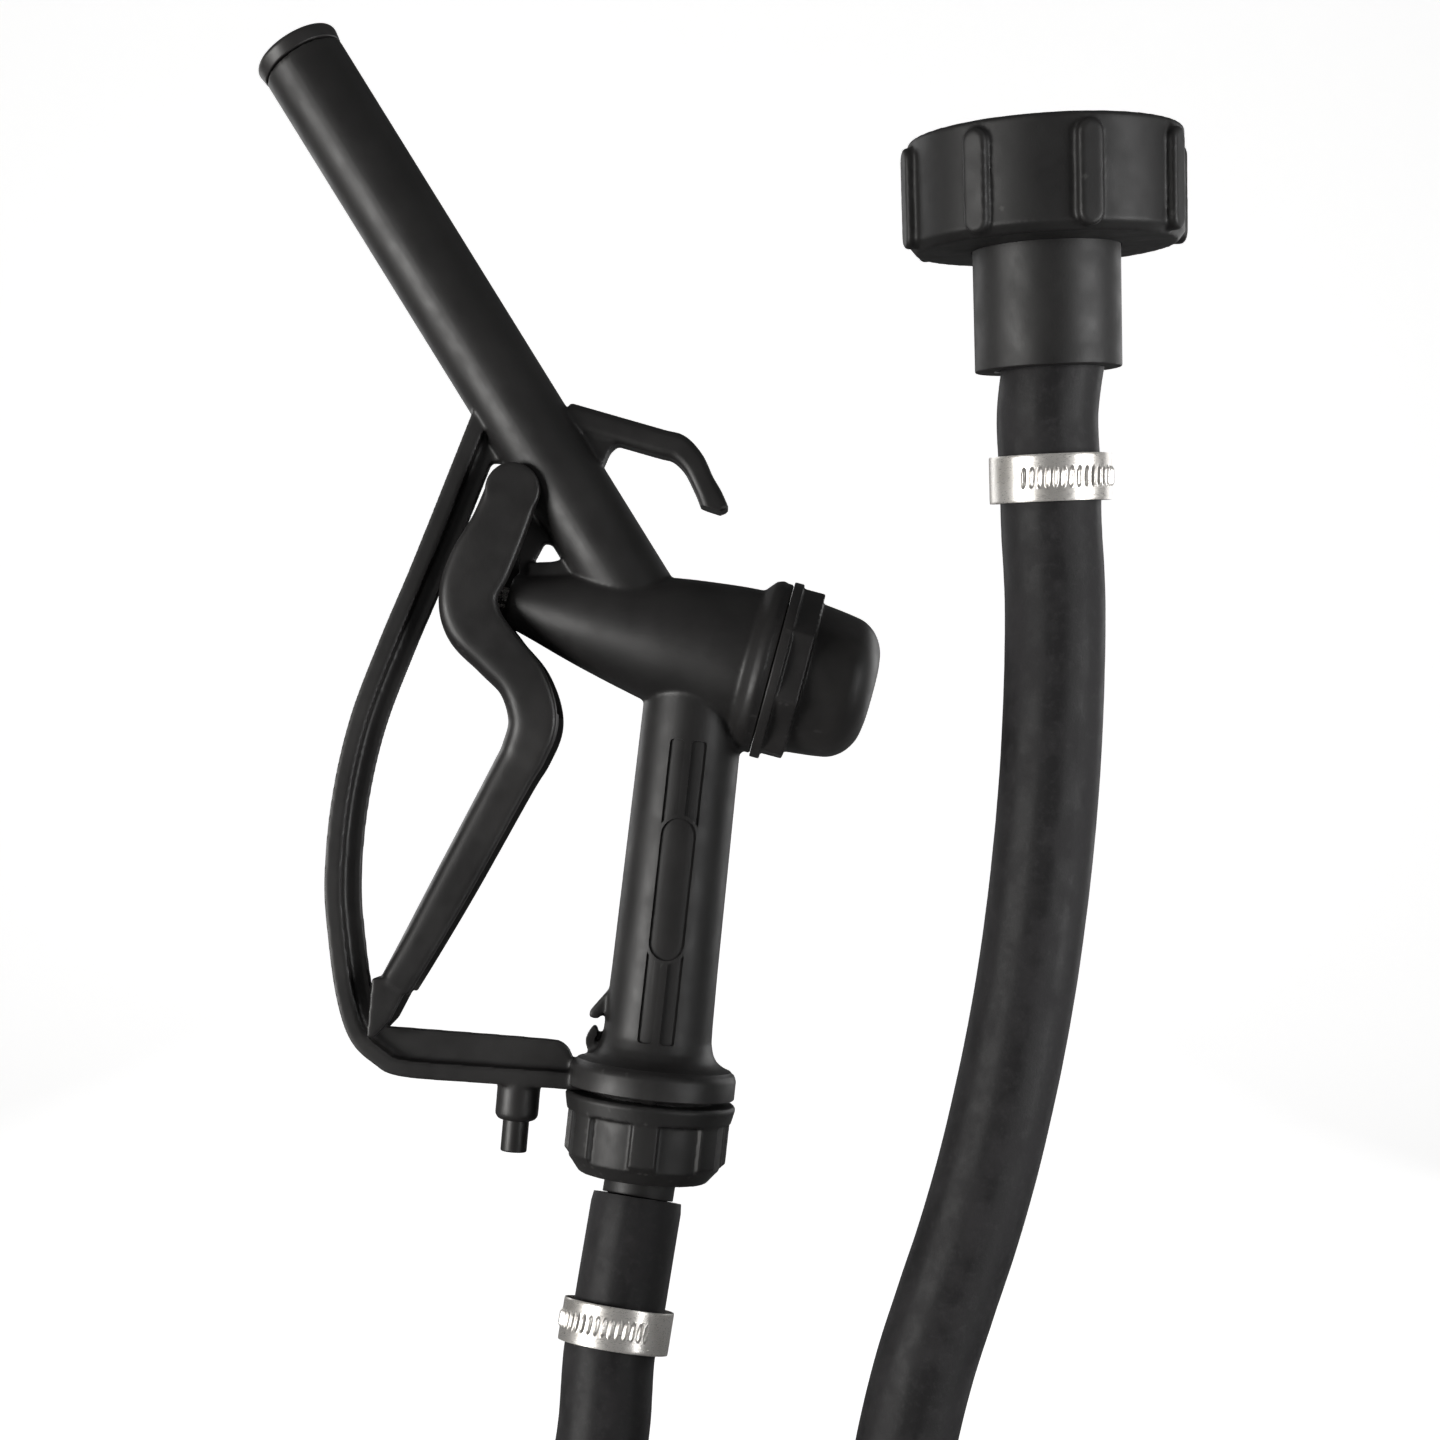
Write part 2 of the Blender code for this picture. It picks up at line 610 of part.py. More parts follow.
def extruded_up(name, outline, low, high, frame, look=None):
    """A flat outline of (x, y) points, extruded along the frame's Z."""
    curve = bpy.data.curves.new(name, "CURVE")
    curve.dimensions = "2D"
    curve.fill_mode = "BOTH"
    curve.extrude = (high - low) / 2 * MM
    spline = curve.splines.new("POLY")
    spline.points.add(len(outline) - 1)
    for point, (x, y) in zip(spline.points, outline):
        point.co = (x * MM, y * MM, 0, 1)
    spline.use_cyclic_u = True
    lift = Matrix.Translation(metres((0, 0, (low + high) / 2)))
    return curve_mesh(name, curve, lift, frame, look)


def barbs(start, count, pitch, root, crest):
    """Saw-tooth barb points (radius, height) going up in height."""
    points = []
    for k in range(count):
        foot = start + k * pitch
        points += [(crest, foot + 0.3), (root, foot + pitch)]
    return points


def make_tail(tail):
    """The tail hangs slightly askew in the loose nut; Z runs down into the hose."""
    root, crest = 8.6, HOSE_BORE - 1.5 * FIT
    outside = [(TAIL_RADIUS, -1.6), (TAIL_RADIUS, HOSE_START - FIT), (root, HOSE_START - FIT)]
    outside += barbs(HOSE_START + 3, 4, 5.2, root, crest)
    top = [(6.6, -4.4), (13.0, -4.4), (13.0, -1.6)]
    end = outside[-1][1]
    profile = top + outside + [(6.6, end)]
    turned("hose_tail", profile[::-1], tail, (PLASTIC, 0.4))


def tail_point(distance):
    return Vector(TAIL_JOINT) + Vector(TAIL_DOWN).normalized() * distance


def from_joint(point):
    return Vector(point) - Vector(TAIL_JOINT)


def spigot_up():
    return (Vector(RIM_CENTRE) - Vector(SPIGOT_FOOT)).normalized()


def hose_line(overrun=0.0):
    """The hose's centre line from the nozzle, through a loop, up into the coupling."""
    first = [tuple(tail_point(reach)) for reach in (HOSE_START, 28, 44, 58)]
    foot = Vector(SPIGOT_FOOT)
    last = [tuple(foot - spigot_up() * reach) for reach in (40, 25, 10, -5)]
    bends = [(-27.5, -13.0, -223), (-34.5, -18.5, -257), (-36.5, -25.5, -292),
             (-24.0, -33, -325), (3.0, -40, -340), (31.0, -47, -327), (44.5, -52.5, -294),
             (47.5, -55.5, -254), (56.5, -56, -199.3), (73.1, -56, -147.6), (84.6, -56, -95.9),
             (90.9, -56, -44.2), (92.9, -55.5, 2.0)]
    line = smooth_line(first + bends + last, 3)
    if overrun:
        for end, inner in ((0, 1), (-1, -2)):
            ahead = (Vector(line[end]) - Vector(line[inner])).normalized()
            line[end] = tuple(Vector(line[end]) + ahead * overrun)
    return line


def make_hose(swivel):
    outside = [from_joint(point) for point in hose_line()]
    inside = [from_joint(point) for point in hose_line(3.0)]
    hose = wire("hose", outside, HOSE_RADIUS, swivel, (RUBBER, 0.75), 4)
    bore = wire("hose_bore", inside, HOSE_BORE, swivel, sides=4)
    cut(hose, bore)
    return hose


def make_clamp(label, frame):
    """A worm-drive clamp; its housing and screw stand behind, on the +Y side."""
    half = CLAMP_WIDTH / 2
    inside = CLAMP_RADIUS - CLAMP_BAND
    ring(label + "_clamp_band", inside, CLAMP_RADIUS, -half, half, frame, (STEEL, 0.3, 1.0))
    middle = CLAMP_RADIUS + FIT + SCREW_OFFSET
    housing = boxes(label + "_clamp_housing", (13.0, 8.0, CLAMP_WIDTH + 1.2),
                    [Matrix.Translation((0, middle, 0))], frame, (STEEL, 0.3, 1.0))
    soften(housing, 1.2, 1)
    tunnel = sideways_rod(label + "_screw_tunnel", 3.3, -8, 8, middle, frame)
    cut(housing, tunnel)
    screw = sideways_rod(label + "_clamp_screw", 3.0, -8.6, 9.4, middle, frame, (STEEL, 0.3, 1.0))
    head = sideways_rod(label + "_screw_head", 4.3, 6.9, 11.6, middle, frame, sides=6)
    join(screw, head)


def sideways_rod(name, radius, low, high, offset, frame, look=None, sides=SMALL_ROUND):
    """A rod along X at a distance offset behind the frame's axis, on its own origin."""
    mesh = bpy.data.meshes.new(name)
    work = bmesh.new()
    bmesh.ops.create_cone(work, cap_ends=True, segments=sides, radius1=radius * MM,
                          radius2=radius * MM, depth=(high - low) * MM)
    bmesh.ops.rotate(work, verts=work.verts, matrix=Matrix.Rotation(math.pi / 2, 3, "Y"))
    bmesh.ops.translate(work, verts=work.verts, vec=metres(((low + high) / 2, 0, 0)))
    work.to_mesh(mesh)
    work.free()
    obj = add_mesh(name, mesh, frame, look)
    obj.location = metres((0, offset, 0))
    return obj


# --- tank coupling --------------------------------------------------------
def make_coupling(coupling):
    """Z runs up from the spigot's foot to the cap's rim."""
    rim = (Vector(RIM_CENTRE) - Vector(SPIGOT_FOOT)).length
    foot = rim - COUPLING_HEIGHT
    outside = [(0, rim), (COUPLING_RADIUS - 0.6, rim), (COUPLING_RADIUS, rim - 0.6),
               (COUPLING_RADIUS, foot + 2.0), (COUPLING_RADIUS - 1.6, foot), (0, foot)]
    nut = turned("coupling_nut", outside, coupling, (PLASTIC, 0.45), BIG_ROUND)
    places = []
    for k in range(COUPLING_RIBS):
        angle = -90 + RIB_TURN + k * 360 / COUPLING_RIBS
        turn = Matrix.Rotation(math.radians(angle), 4, "Z")
        places.append(turn @ Matrix.Translation((COUPLING_RADIUS - 0.5, 0, rim - 14.4)))
    ribs = boxes("coupling_ribs", (5.4, 6.4, 24.6), places, coupling)
    soften(ribs, 2.0, 1)
    join(nut, ribs)
    hollow = turned("coupling_hollow", [(0, rim + 1), (30.4, rim + 1), (30.4, foot + 5),
                                        (SPIGOT_RADIUS + FIT, foot + 5),
                                        (SPIGOT_RADIUS + FIT, foot - 1), (0, foot - 1)], coupling)
    cut(nut, hollow)
    ledge = foot + 5.3
    spigot = [(11.0, ledge + 4), (27.5, ledge + 4), (27.5, ledge), (SPIGOT_RADIUS, ledge),
              (SPIGOT_RADIUS, 0), (13.6, 0), (13.6, 12.4), (11.0, 12.4)]
    turned("coupling_spigot", spigot, coupling, (PLASTIC, 0.45), BIG_ROUND)
    ring("coupling_gasket", 14.0, 29.0, ledge + 4.1, ledge + 6.6, coupling, (RUBBER, 0.7))
    crest = HOSE_BORE - 1.5 * FIT
    tail = [(6.6, 12.1), (13.3, 12.1), (13.3, 5.5), (8.6, 5.5)]
    tail += [(r, 2.0 - z) for r, z in barbs(0, 4, 5.2, 8.6, crest)]
    tail.append((6.6, tail[-1][1]))
    turned("coupling_tail", tail, coupling, (PLASTIC, 0.45))


# --- assembly -------------------------------------------------------------
def build():
    root = frame_at("nozzle_frame", None, (0, 0, 0))
    hub = frame_at("hub", root, HUB)
    spout = frame_at("spout_axis", hub, SPOUT_ROOT, tilted(SPOUT_TILT))
    valve = frame_at("valve_axis", hub, (0, 0, 0), tilted(VALVE_TILT))
    grip = frame_at("grip_axis", hub, (0, 0, 0), tilted(GRIP_TILT))
    pivot = frame_at("lever_axis", hub, PIVOT)
    latch = frame_at("latch_axis", hub, LATCH_FOOT, tilted(LATCH_TILT))
    swivel = frame_at("hose_swivel", hub, TAIL_JOINT)
    tail = frame_at("tail_axis", swivel, (0, 0, 0), along(TAIL_DOWN))
    coupling = frame_at("coupling_axis", swivel, from_joint(SPIGOT_FOOT), along(spigot_up()))
    make_body(hub, spout, valve, grip, latch)
    make_end_ring(spout)
    make_valve_cap(valve)
    make_valve(valve)
    make_lever(pivot)
    make_pivot_pin(hub)
    make_latch(latch)
    make_union_nut(grip)
    ring("union_gasket", GRIP_BORE, 16.2, STUB_FOOT + 0.1, STUB_FOOT + 2.1, grip, (RUBBER, 0.7))
    make_tail(tail)
    make_hose(swivel)
    lower = from_joint(tail_point(LOWER_CLAMP))
    make_clamp("lower", frame_at("lower_clamp", swivel, lower, along(-Vector(TAIL_DOWN))))
    upper = from_joint(SPIGOT_FOOT) - spigot_up() * UPPER_CLAMP
    make_clamp("upper", frame_at("upper_clamp", swivel, upper, along(spigot_up())))
    make_coupling(coupling)


clear_scene()
PARTS = new_collection("fuel_nozzle")
CUTTERS = new_collection("cutters")
build()
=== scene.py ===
"""Finished look of the fuel nozzle, its hose and tank coupling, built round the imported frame.

Shapes are in millimetres along the frame's own axes; every helper scales to metres.
"""
import json
import math

import bmesh
import bpy
from mathutils import Matrix, Vector, noise


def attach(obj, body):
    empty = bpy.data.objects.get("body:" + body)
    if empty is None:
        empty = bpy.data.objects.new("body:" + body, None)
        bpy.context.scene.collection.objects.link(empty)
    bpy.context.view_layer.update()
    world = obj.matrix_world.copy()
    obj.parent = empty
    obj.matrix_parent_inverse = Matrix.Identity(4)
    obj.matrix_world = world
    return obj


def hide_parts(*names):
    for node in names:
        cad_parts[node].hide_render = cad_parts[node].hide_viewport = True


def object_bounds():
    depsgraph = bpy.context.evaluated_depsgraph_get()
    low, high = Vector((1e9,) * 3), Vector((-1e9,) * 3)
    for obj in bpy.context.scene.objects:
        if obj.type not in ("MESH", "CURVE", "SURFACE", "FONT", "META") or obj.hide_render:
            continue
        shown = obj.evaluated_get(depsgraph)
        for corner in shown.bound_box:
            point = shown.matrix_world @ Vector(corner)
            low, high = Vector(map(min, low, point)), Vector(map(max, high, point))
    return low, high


MM = 0.001
ROUND = 128                  # sides of a visible round
FINE_ROUND = 192
BORE_ROUND = 96
PEG_ROUND = 64
PEG_HOLE_ROUND = 48
MOULD_VOXEL = 0.62           # detail size of the large mouldings
NUT_VOXEL = 0.5
FINE_VOXEL = 0.42
SHARP_ANGLE = 35             # edges sharper than this many degrees stay crisp

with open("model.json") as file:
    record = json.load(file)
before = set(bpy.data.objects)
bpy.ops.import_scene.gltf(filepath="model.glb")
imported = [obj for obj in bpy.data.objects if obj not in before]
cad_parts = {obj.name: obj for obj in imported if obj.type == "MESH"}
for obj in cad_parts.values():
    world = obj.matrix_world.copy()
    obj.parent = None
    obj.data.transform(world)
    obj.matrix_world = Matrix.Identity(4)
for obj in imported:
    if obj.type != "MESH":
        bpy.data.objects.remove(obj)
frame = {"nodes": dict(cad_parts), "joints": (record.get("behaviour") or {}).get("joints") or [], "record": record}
cad_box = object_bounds()


# --- places taken from the frame ---
def joint(name):
    return next(j for j in frame["joints"] if j["name"] == name)


def mount(name):
    return next(m for m in frame["record"]["mounts"] if m["name"] == name)


def end_centre(node, axis):
    """The middle of a node's end face in a direction."""
    direction = Vector(axis)
    places = {tuple(round(c, 6) for c in v.co) for v in frame["nodes"][node].data.vertices}
    points = [Vector(p) for p in places]
    top = max(p.dot(direction) for p in points)
    face = [p for p in points if p.dot(direction) > top - 0.05 * MM]
    return sum(face, Vector()) / len(face)


def axis_frame(origin, up):
    """Z along up, with X kept level across the view."""
    up = Vector(up).normalized()
    side = Vector((0, 1, 0)).cross(up).normalized()
    turn = Matrix((side, up.cross(side), up)).transposed().to_4x4()
    return Matrix.Translation(Vector(origin)) @ turn


GRIP_DOWN = Vector(joint("union_nut_turn")["axis"])
HUB_AT = Vector(joint("union_nut_turn")["pos_m"])
HUB = Matrix.Translation(HUB_AT)
VALVE = axis_frame(HUB_AT, mount("valve_cap_end")["axis"])
GRIP = axis_frame(HUB_AT, GRIP_DOWN)
SPOUT_TIP = end_centre("spout_end_ring", mount("spout_end")["axis"])
SPOUT = axis_frame(SPOUT_TIP, mount("spout_end")["axis"])        # Z is 0 at the tip
PIVOT_AT = Vector(joint("lever_squeeze")["pos_m"])
PIVOT_AXLE = Matrix.Translation(PIVOT_AT) @ Matrix.Rotation(math.pi / 2, 4, "X")
LATCH_UP = Vector(joint("latch_push")["axis"])
LATCH = axis_frame(end_centre("latch_pin", -LATCH_UP), LATCH_UP)  # Z is 0 at the pin's foot
TAIL_UP = Vector(joint("hose_swing")["axis"])
TAIL_AT = Vector(joint("hose_swing")["pos_m"])
TAIL = axis_frame(TAIL_AT, -TAIL_UP)
COUPLING_UP = Vector(joint("tank_nut_turn")["axis"])
COUPLING = axis_frame(joint("tank_nut_turn")["pos_m"], COUPLING_UP)
RIM = (end_centre("coupling_nut", COUPLING_UP) - COUPLING.translation).dot(COUPLING_UP) / MM

# --- sizes of the mouldings ---
SPOUT_RADIUS = 12.15
SPOUT_LENGTH = 198.1
SPOUT_BORE = 9.7
END_RING = 4.5
END_RING_RADIUS = 12.7
BARREL_END = 21.2
SNOUT_END = -56.3
CHAMBER_RADIUS = 15.5
BASE_RADIUS = 23.7
BASE_TOP = 119.9
BASE_FOOT = 126.8
STUB_FOOT = 137.0
STUB_RADIUS = 17.5
GRIP_BORE = 9.6
MARK_DEPTH = 0.8
GUARD_DEPTH = 12.0
GUARD_BAND = 2.45
WEB_DEPTH = 4.0
WEB_INSIDE = 4.6             # how far the guard's web stands inside its band
WEB_OUTSIDE = 0.6            # how far it reaches past the band's centre line
WEB_FOOT = -101.0            # where the side web gives way to the bar's own web
HOOK_DEPTH = 10.0
HOOK_HALF = 3.7
HOOK_EDGE = 1.9              # radius of the hook's rounded edges
HOOK_LAYERS = 5              # slabs that make up one rounded edge, less one
HOOK_FALL = math.radians(16)
LUG_RADIUS = 5.0
LUG_HALF = 11.1
FORK_GAP = 11.4
FORK_HALF = 13.8
LEVER_LOW_GAP = 7.6
LEVER_LOW_HALF = 10.0
EYE_RADIUS = 7.7
NUT_TOP = 128.4
NUT_FOOT = 150.9
NUT_RIDGES = 7
HOSE_RADIUS = 12.9
HOSE_BORE = 9.8
TAIL_RADIUS = 10.15
CLAMP_RADIUS = 15.7
CLAMP_BAND = 0.7
CLAMP_WIDTH = 11.8
BAND_RIDGES = 18
BAND_LIP = 0.7               # width of the band's turned-in edge
RIDGE_REACH = 2.7            # half length of a ridge across the band
RIDGE_HEIGHT = 0.62
RIDGE_SLANT = 0.03           # pitches of lean per millimetre of height
SCREW_HEIGHT = 4.5           # the screw's axis beyond CLAMP_RADIUS
BAND_SINK = 0.02             # how far the band's smooth skin lies inside CLAMP_RADIUS
COUPLING_RADIUS = 34.6
COUPLING_HEIGHT = 27.3
COUPLING_BORE = 30.4
COUPLING_RIBS = 8
RIB_TURN = 8.6
SPIGOT_RADIUS = 18.7
CLAMP_ARCS = {"lower": (-189, -52), "upper": (-128, 9)}


# --- mesh helpers ---
def place(matrix, x, y, z):
    return matrix @ Vector((x * MM, y * MM, z * MM))


def rounded(points, reach=0.5, steps=4, closed=True):
    """An outline with its corners rounded over a short reach."""
    count = len(points)
    smooth = []
    for i, point in enumerate(points):
        if not closed and i in (0, count - 1):
            smooth.append(tuple(point))
            continue
        here = Vector(point)
        back = Vector(points[i - 1]) - here
        ahead = Vector(points[(i + 1) % count]) - here
        if back.length < 1e-6 or ahead.length < 1e-6:
            continue
        near = min(reach, back.length * 0.45, ahead.length * 0.45)
        start = here + back.normalized() * near
        end = here + ahead.normalized() * near
        for k in range(steps + 1):
            t = k / steps
            smooth.append(tuple(start * (1 - t) ** 2 + here * (2 * t * (1 - t)) + end * t ** 2))
    return smooth


def revolve(work, profile, matrix, sides=ROUND):
    """Turns (radius, height) points round Z; a profile on the axis closes on itself."""
    solid = profile[0][0] < 1e-6
    rings = []
    for radius, height in profile:
        if radius < 1e-6:
            rings.append([work.verts.new(place(matrix, 0, 0, height))])
            continue
        loop = []
        for k in range(sides):
            angle = 2 * math.pi * k / sides
            loop.append(work.verts.new(place(matrix, radius * math.cos(angle),
                                             radius * math.sin(angle), height)))
        rings.append(loop)
    pairs = list(zip(rings, rings[1:]))
    if not solid:
        pairs.append((rings[-1], rings[0]))
    for one, two in pairs:
        bridge(work, one, two)


def turned(profile, matrix, sides=ROUND):
    """A new mesh that holds one turned solid."""
    work = bmesh.new()
    revolve(work, profile, matrix, sides)
    return work


def bridge(work, one, two):
    """Joins two loops with faces; a loop of one vertex makes a fan."""
    sides = max(len(one), len(two))
    for k in range(sides):
        n = (k + 1) % sides
        if len(one) == 1:
            work.faces.new((one[0], two[n], two[k]))
        elif len(two) == 1:
            work.faces.new((one[k], one[n], two[0]))
        else:
            work.faces.new((one[k], one[n], two[n], two[k]))


def slab(work, outline, low, high, matrix):
    """An outline of (x, z) points, extruded along Y from low to high."""
    front = [work.verts.new(place(matrix, x, low, z)) for x, z in outline]
    back = [work.verts.new(place(matrix, x, high, z)) for x, z in outline]
    bridge(work, front, back)
    work.faces.new(front)
    work.faces.new(back[::-1])


def tower(work, outline, low, high, matrix):
    """An outline of (x, y) points, extruded along Z from low to high."""
    foot = [work.verts.new(place(matrix, x, y, low)) for x, y in outline]
    head = [work.verts.new(place(matrix, x, y, high)) for x, y in outline]
    bridge(work, foot, head)
    work.faces.new(foot)
    work.faces.new(head[::-1])


def tube(work, line, reach, sides, bore):
    """A round tube along world points; reach gives its radius at (index, angle)."""
    outer = []
    inner = []
    ahead = (line[1] - line[0]).normalized()
    side = ahead.cross(Vector((0, 1, 0.3))).normalized()
    for i, point in enumerate(line):
        before = line[max(i - 1, 0)]
        after = line[min(i + 1, len(line) - 1)]
        ahead = (after - before).normalized()
        side = (side - ahead * side.dot(ahead)).normalized()
        up = ahead.cross(side)
        for group, size in ((outer, reach), (inner, lambda i, angle: bore)):
            loop = []
            for k in range(sides):
                angle = 2 * math.pi * k / sides
                spoke = side * math.cos(angle) + up * math.sin(angle)
                loop.append(point + spoke * size(i, angle) * MM)
            group.append(loop)
    outer = [[work.verts.new(p) for p in loop] for loop in outer]
    for one, two in zip(outer, outer[1:]):
        bridge(work, one, two)
    inner = [[work.verts.new(p) for p in loop] for loop in inner]
    for one, two in zip(inner, inner[1:]):
        bridge(work, two, one)
    bridge(work, inner[0], outer[0])
    bridge(work, outer[-1], inner[-1])


def smooth_line(points, spans=8):
    """Catmull-Rom samples through points of any dimension."""
    ends = [points[0]] + list(points) + [points[-1]]
    line = []
    for i in range(1, len(ends) - 2):
        for step in range(spans):
            t = step / spans
            line.append(tuple(
                0.5 * (2 * b + (c - a) * t + (2 * a - 5 * b + 4 * c - d) * t * t
                       + (3 * b - a - 3 * c + d) * t * t * t)
                for a, b, c, d in zip(*ends[i - 1:i + 3])))
    line.append(tuple(points[-1]))
    return line


def ribbon(line):
    """The outline of a band along (x, z, left width, right width) samples."""
    left = []
    right = []
    for i, (x, z, wide_left, wide_right) in enumerate(line):
        before = line[max(i - 1, 0)]
        after = line[min(i + 1, len(line) - 1)]
        ahead = Vector((after[0] - before[0], after[1] - before[1])).normalized()
        left.append((x - ahead.y * wide_left, z + ahead.x * wide_left))
        right.append((x + ahead.y * wide_right, z - ahead.x * wide_right))
    return left + right[::-1]


def stadium(x, low, high, half, steps=10):
    """An upright slot outline with round ends."""
    points = []
    for end, base in ((high - half, 0), (low + half, math.pi)):
        for k in range(steps + 1):
            angle = base + math.pi * k / steps
            points.append((x + half * math.cos(angle), end + half * math.sin(angle)))
    return points


def object_from(name, work):
    bmesh.ops.recalc_face_normals(work, faces=work.faces)
    mesh = bpy.data.meshes.new(name)
    work.to_mesh(mesh)
    work.free()
    obj = bpy.data.objects.new(name, mesh)
    bpy.context.scene.collection.objects.link(obj)
    return obj


def settle(obj):
    """Turns an object's modifiers into its mesh."""
    bpy.context.view_layer.update()
    shape = obj.evaluated_get(bpy.context.evaluated_depsgraph_get())
    mesh = bpy.data.meshes.new_from_object(shape)
    obj.modifiers.clear()
    old = obj.data
    obj.data = mesh
    bpy.data.meshes.remove(old)
    return obj


def moulded(obj, voxel, smooth):
    """Merges overlapping solids into one skin with small fillets between them."""
    remesh = obj.modifiers.new("skin", "REMESH")
    remesh.mode = "VOXEL"
    remesh.voxel_size = voxel * MM
    relax = obj.modifiers.new("relax", "SMOOTH")
    relax.factor = 0.5
    relax.iterations = smooth
    return settle(obj)


def combine(obj, other, operation="DIFFERENCE"):
    """Cuts, joins or intersects an object with another, which is then removed."""
    step = obj.modifiers.new("combine", "BOOLEAN")
    step.operation = operation
    step.solver = "MANIFOLD"
    step.object = other
    settle(obj)
    bpy.data.objects.remove(other, do_unlink=True)


def carve(obj, work, operation="DIFFERENCE"):
    combine(obj, object_from(obj.name + "_cutter", work), operation)


def shade(obj):
    for face in obj.data.polygons:
        face.use_smooth = True
    obj.data.set_sharp_from_angle(angle=math.radians(SHARP_ANGLE))


def finished(obj, body, look, *nodes):
    shade(obj)
    obj.data.materials.clear()
    obj.data.materials.append(look)
    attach(obj, body)
    if nodes:
        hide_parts(*nodes)
    return obj


# --- materials ---
class Nodes:
    """A short way to write a material's node tree."""

    def __init__(self, name):
        self.look = bpy.data.materials.new(name)
        self.look.use_nodes = True
        self.tree = self.look.node_tree
        self.shader = self.tree.nodes["Principled BSDF"]
        place_node = self.tree.nodes.new("ShaderNodeTexCoord")
        self.place = place_node.outputs["Object"]

    def add(self, kind, **values):
        node = self.tree.nodes.new(kind)
        for key, value in values.items():
            if hasattr(node, key):
                setattr(node, key, value)
        return node

    def link(self, source, target):
        self.tree.links.new(source, target)

    def noise(self, scale, detail=3.0, roughness=0.5, vector=None):
        node = self.add("ShaderNodeTexNoise")
        node.inputs["Scale"].default_value = scale
        node.inputs["Detail"].default_value = detail
        node.inputs["Roughness"].default_value = roughness
        self.link(vector or self.place, node.inputs["Vector"])
        return node.outputs["Fac"]

    def ramp(self, source, low, high, start=0.3, end=0.7):
        node = self.add("ShaderNodeMapRange")
        node.inputs["From Min"].default_value = start
        node.inputs["From Max"].default_value = end
        node.inputs["To Min"].default_value = low
        node.inputs["To Max"].default_value = high
        self.link(source, node.inputs["Value"])
        return node.outputs["Result"]

    def blend(self, factor, one, two):
        node = self.add("ShaderNodeMix", data_type="RGBA")
        self.link(factor, node.inputs["Factor"])
        colour_a, colour_b = node.inputs[6], node.inputs[7]
        for value, socket in ((one, colour_a), (two, colour_b)):
            if isinstance(value, tuple):
                socket.default_value = (*value, 1.0)
            else:
                self.link(value, socket)
        return node.outputs[2]

    def sum(self, one, two, operation="ADD"):
        node = self.add("ShaderNodeMath", operation=operation)
        for value, socket in ((one, node.inputs[0]), (two, node.inputs[1])):
            if isinstance(value, float):
                socket.default_value = value
            else:
                self.link(value, socket)
        return node.outputs[0]

    def bump(self, height, strength, distance):
        node = self.add("ShaderNodeBump")
        node.inputs["Strength"].default_value = strength
        node.inputs["Distance"].default_value = distance
        self.link(height, node.inputs["Height"])
        self.link(node.outputs["Normal"], self.shader.inputs["Normal"])


def edge_wear(made, start, end):
    """0 on flats and 1 along convex edges, broken up by noise."""
    shape = made.add("ShaderNodeNewGeometry").outputs["Pointiness"]
    edge = made.ramp(shape, 0.0, 1.0, start, end)
    return made.sum(edge, made.noise(260.0, 2.0), "MULTIPLY")


def plastic(name, tone, rough):
    """Satin moulded plastic: fine grain, uneven tone and gloss, and pale edges."""
    made = Nodes(name)
    base = (0.0125 * tone, 0.0118 * tone, 0.0118 * tone)
    worn = (0.030 * tone, 0.0285 * tone, 0.028 * tone)
    cloud = made.ramp(made.noise(38.0, 4.0), 0.0, 0.55, 0.42, 0.72)
    body = made.blend(cloud, base, worn)
    made.link(made.blend(edge_wear(made, 0.52, 0.62), body, (0.060, 0.058, 0.057)),
              made.shader.inputs["Base Color"])
    streak = made.noise(140.0, 3.0, 0.6)
    made.link(made.ramp(streak, rough - 0.05, rough + 0.07), made.shader.inputs["Roughness"])
    made.shader.inputs["Specular IOR Level"].default_value = 0.5
    grain = made.noise(2600.0, 2.0, 0.6)
    ripple = made.noise(90.0, 2.0)
    made.bump(made.sum(grain, made.sum(ripple, 2.0, "MULTIPLY")), 0.30, 0.00006)
    return made.look


def hose_rubber(name):
    """Matt rubber with a mottled grey bloom and a fine grain."""
    made = Nodes(name)
    bloom = made.ramp(made.noise(75.0, 6.0, 0.66), 0.0, 1.0, 0.44, 0.66)
    fine = made.ramp(made.noise(420.0, 3.0, 0.7), 0.0, 0.35, 0.52, 0.75)
    body = made.blend(bloom, (0.0048, 0.0042, 0.0050), (0.0195, 0.0180, 0.0195))
    made.link(made.blend(fine, body, (0.036, 0.034, 0.036)), made.shader.inputs["Base Color"])
    made.link(made.ramp(bloom, 0.58, 0.76, 0.0, 1.0), made.shader.inputs["Roughness"])
    made.shader.inputs["Specular IOR Level"].default_value = 0.40
    made.shader.inputs["Sheen Weight"].default_value = 0.06
    made.shader.inputs["Sheen Roughness"].default_value = 0.5
    grain = made.noise(1500.0, 4.0, 0.7)
    made.bump(grain, 0.35, 0.00012)
    return made.look


def seal_rubber(name):
    made = Nodes(name)
    bloom = made.noise(160.0, 4.0, 0.6)
    made.link(made.blend(made.ramp(bloom, 0.0, 1.0), (0.012, 0.012, 0.012),
                         (0.030, 0.029, 0.028)), made.shader.inputs["Base Color"])
    made.link(made.ramp(bloom, 0.5, 0.7), made.shader.inputs["Roughness"])
    made.bump(made.noise(1400.0), 0.3, 0.00005)
    return made.look


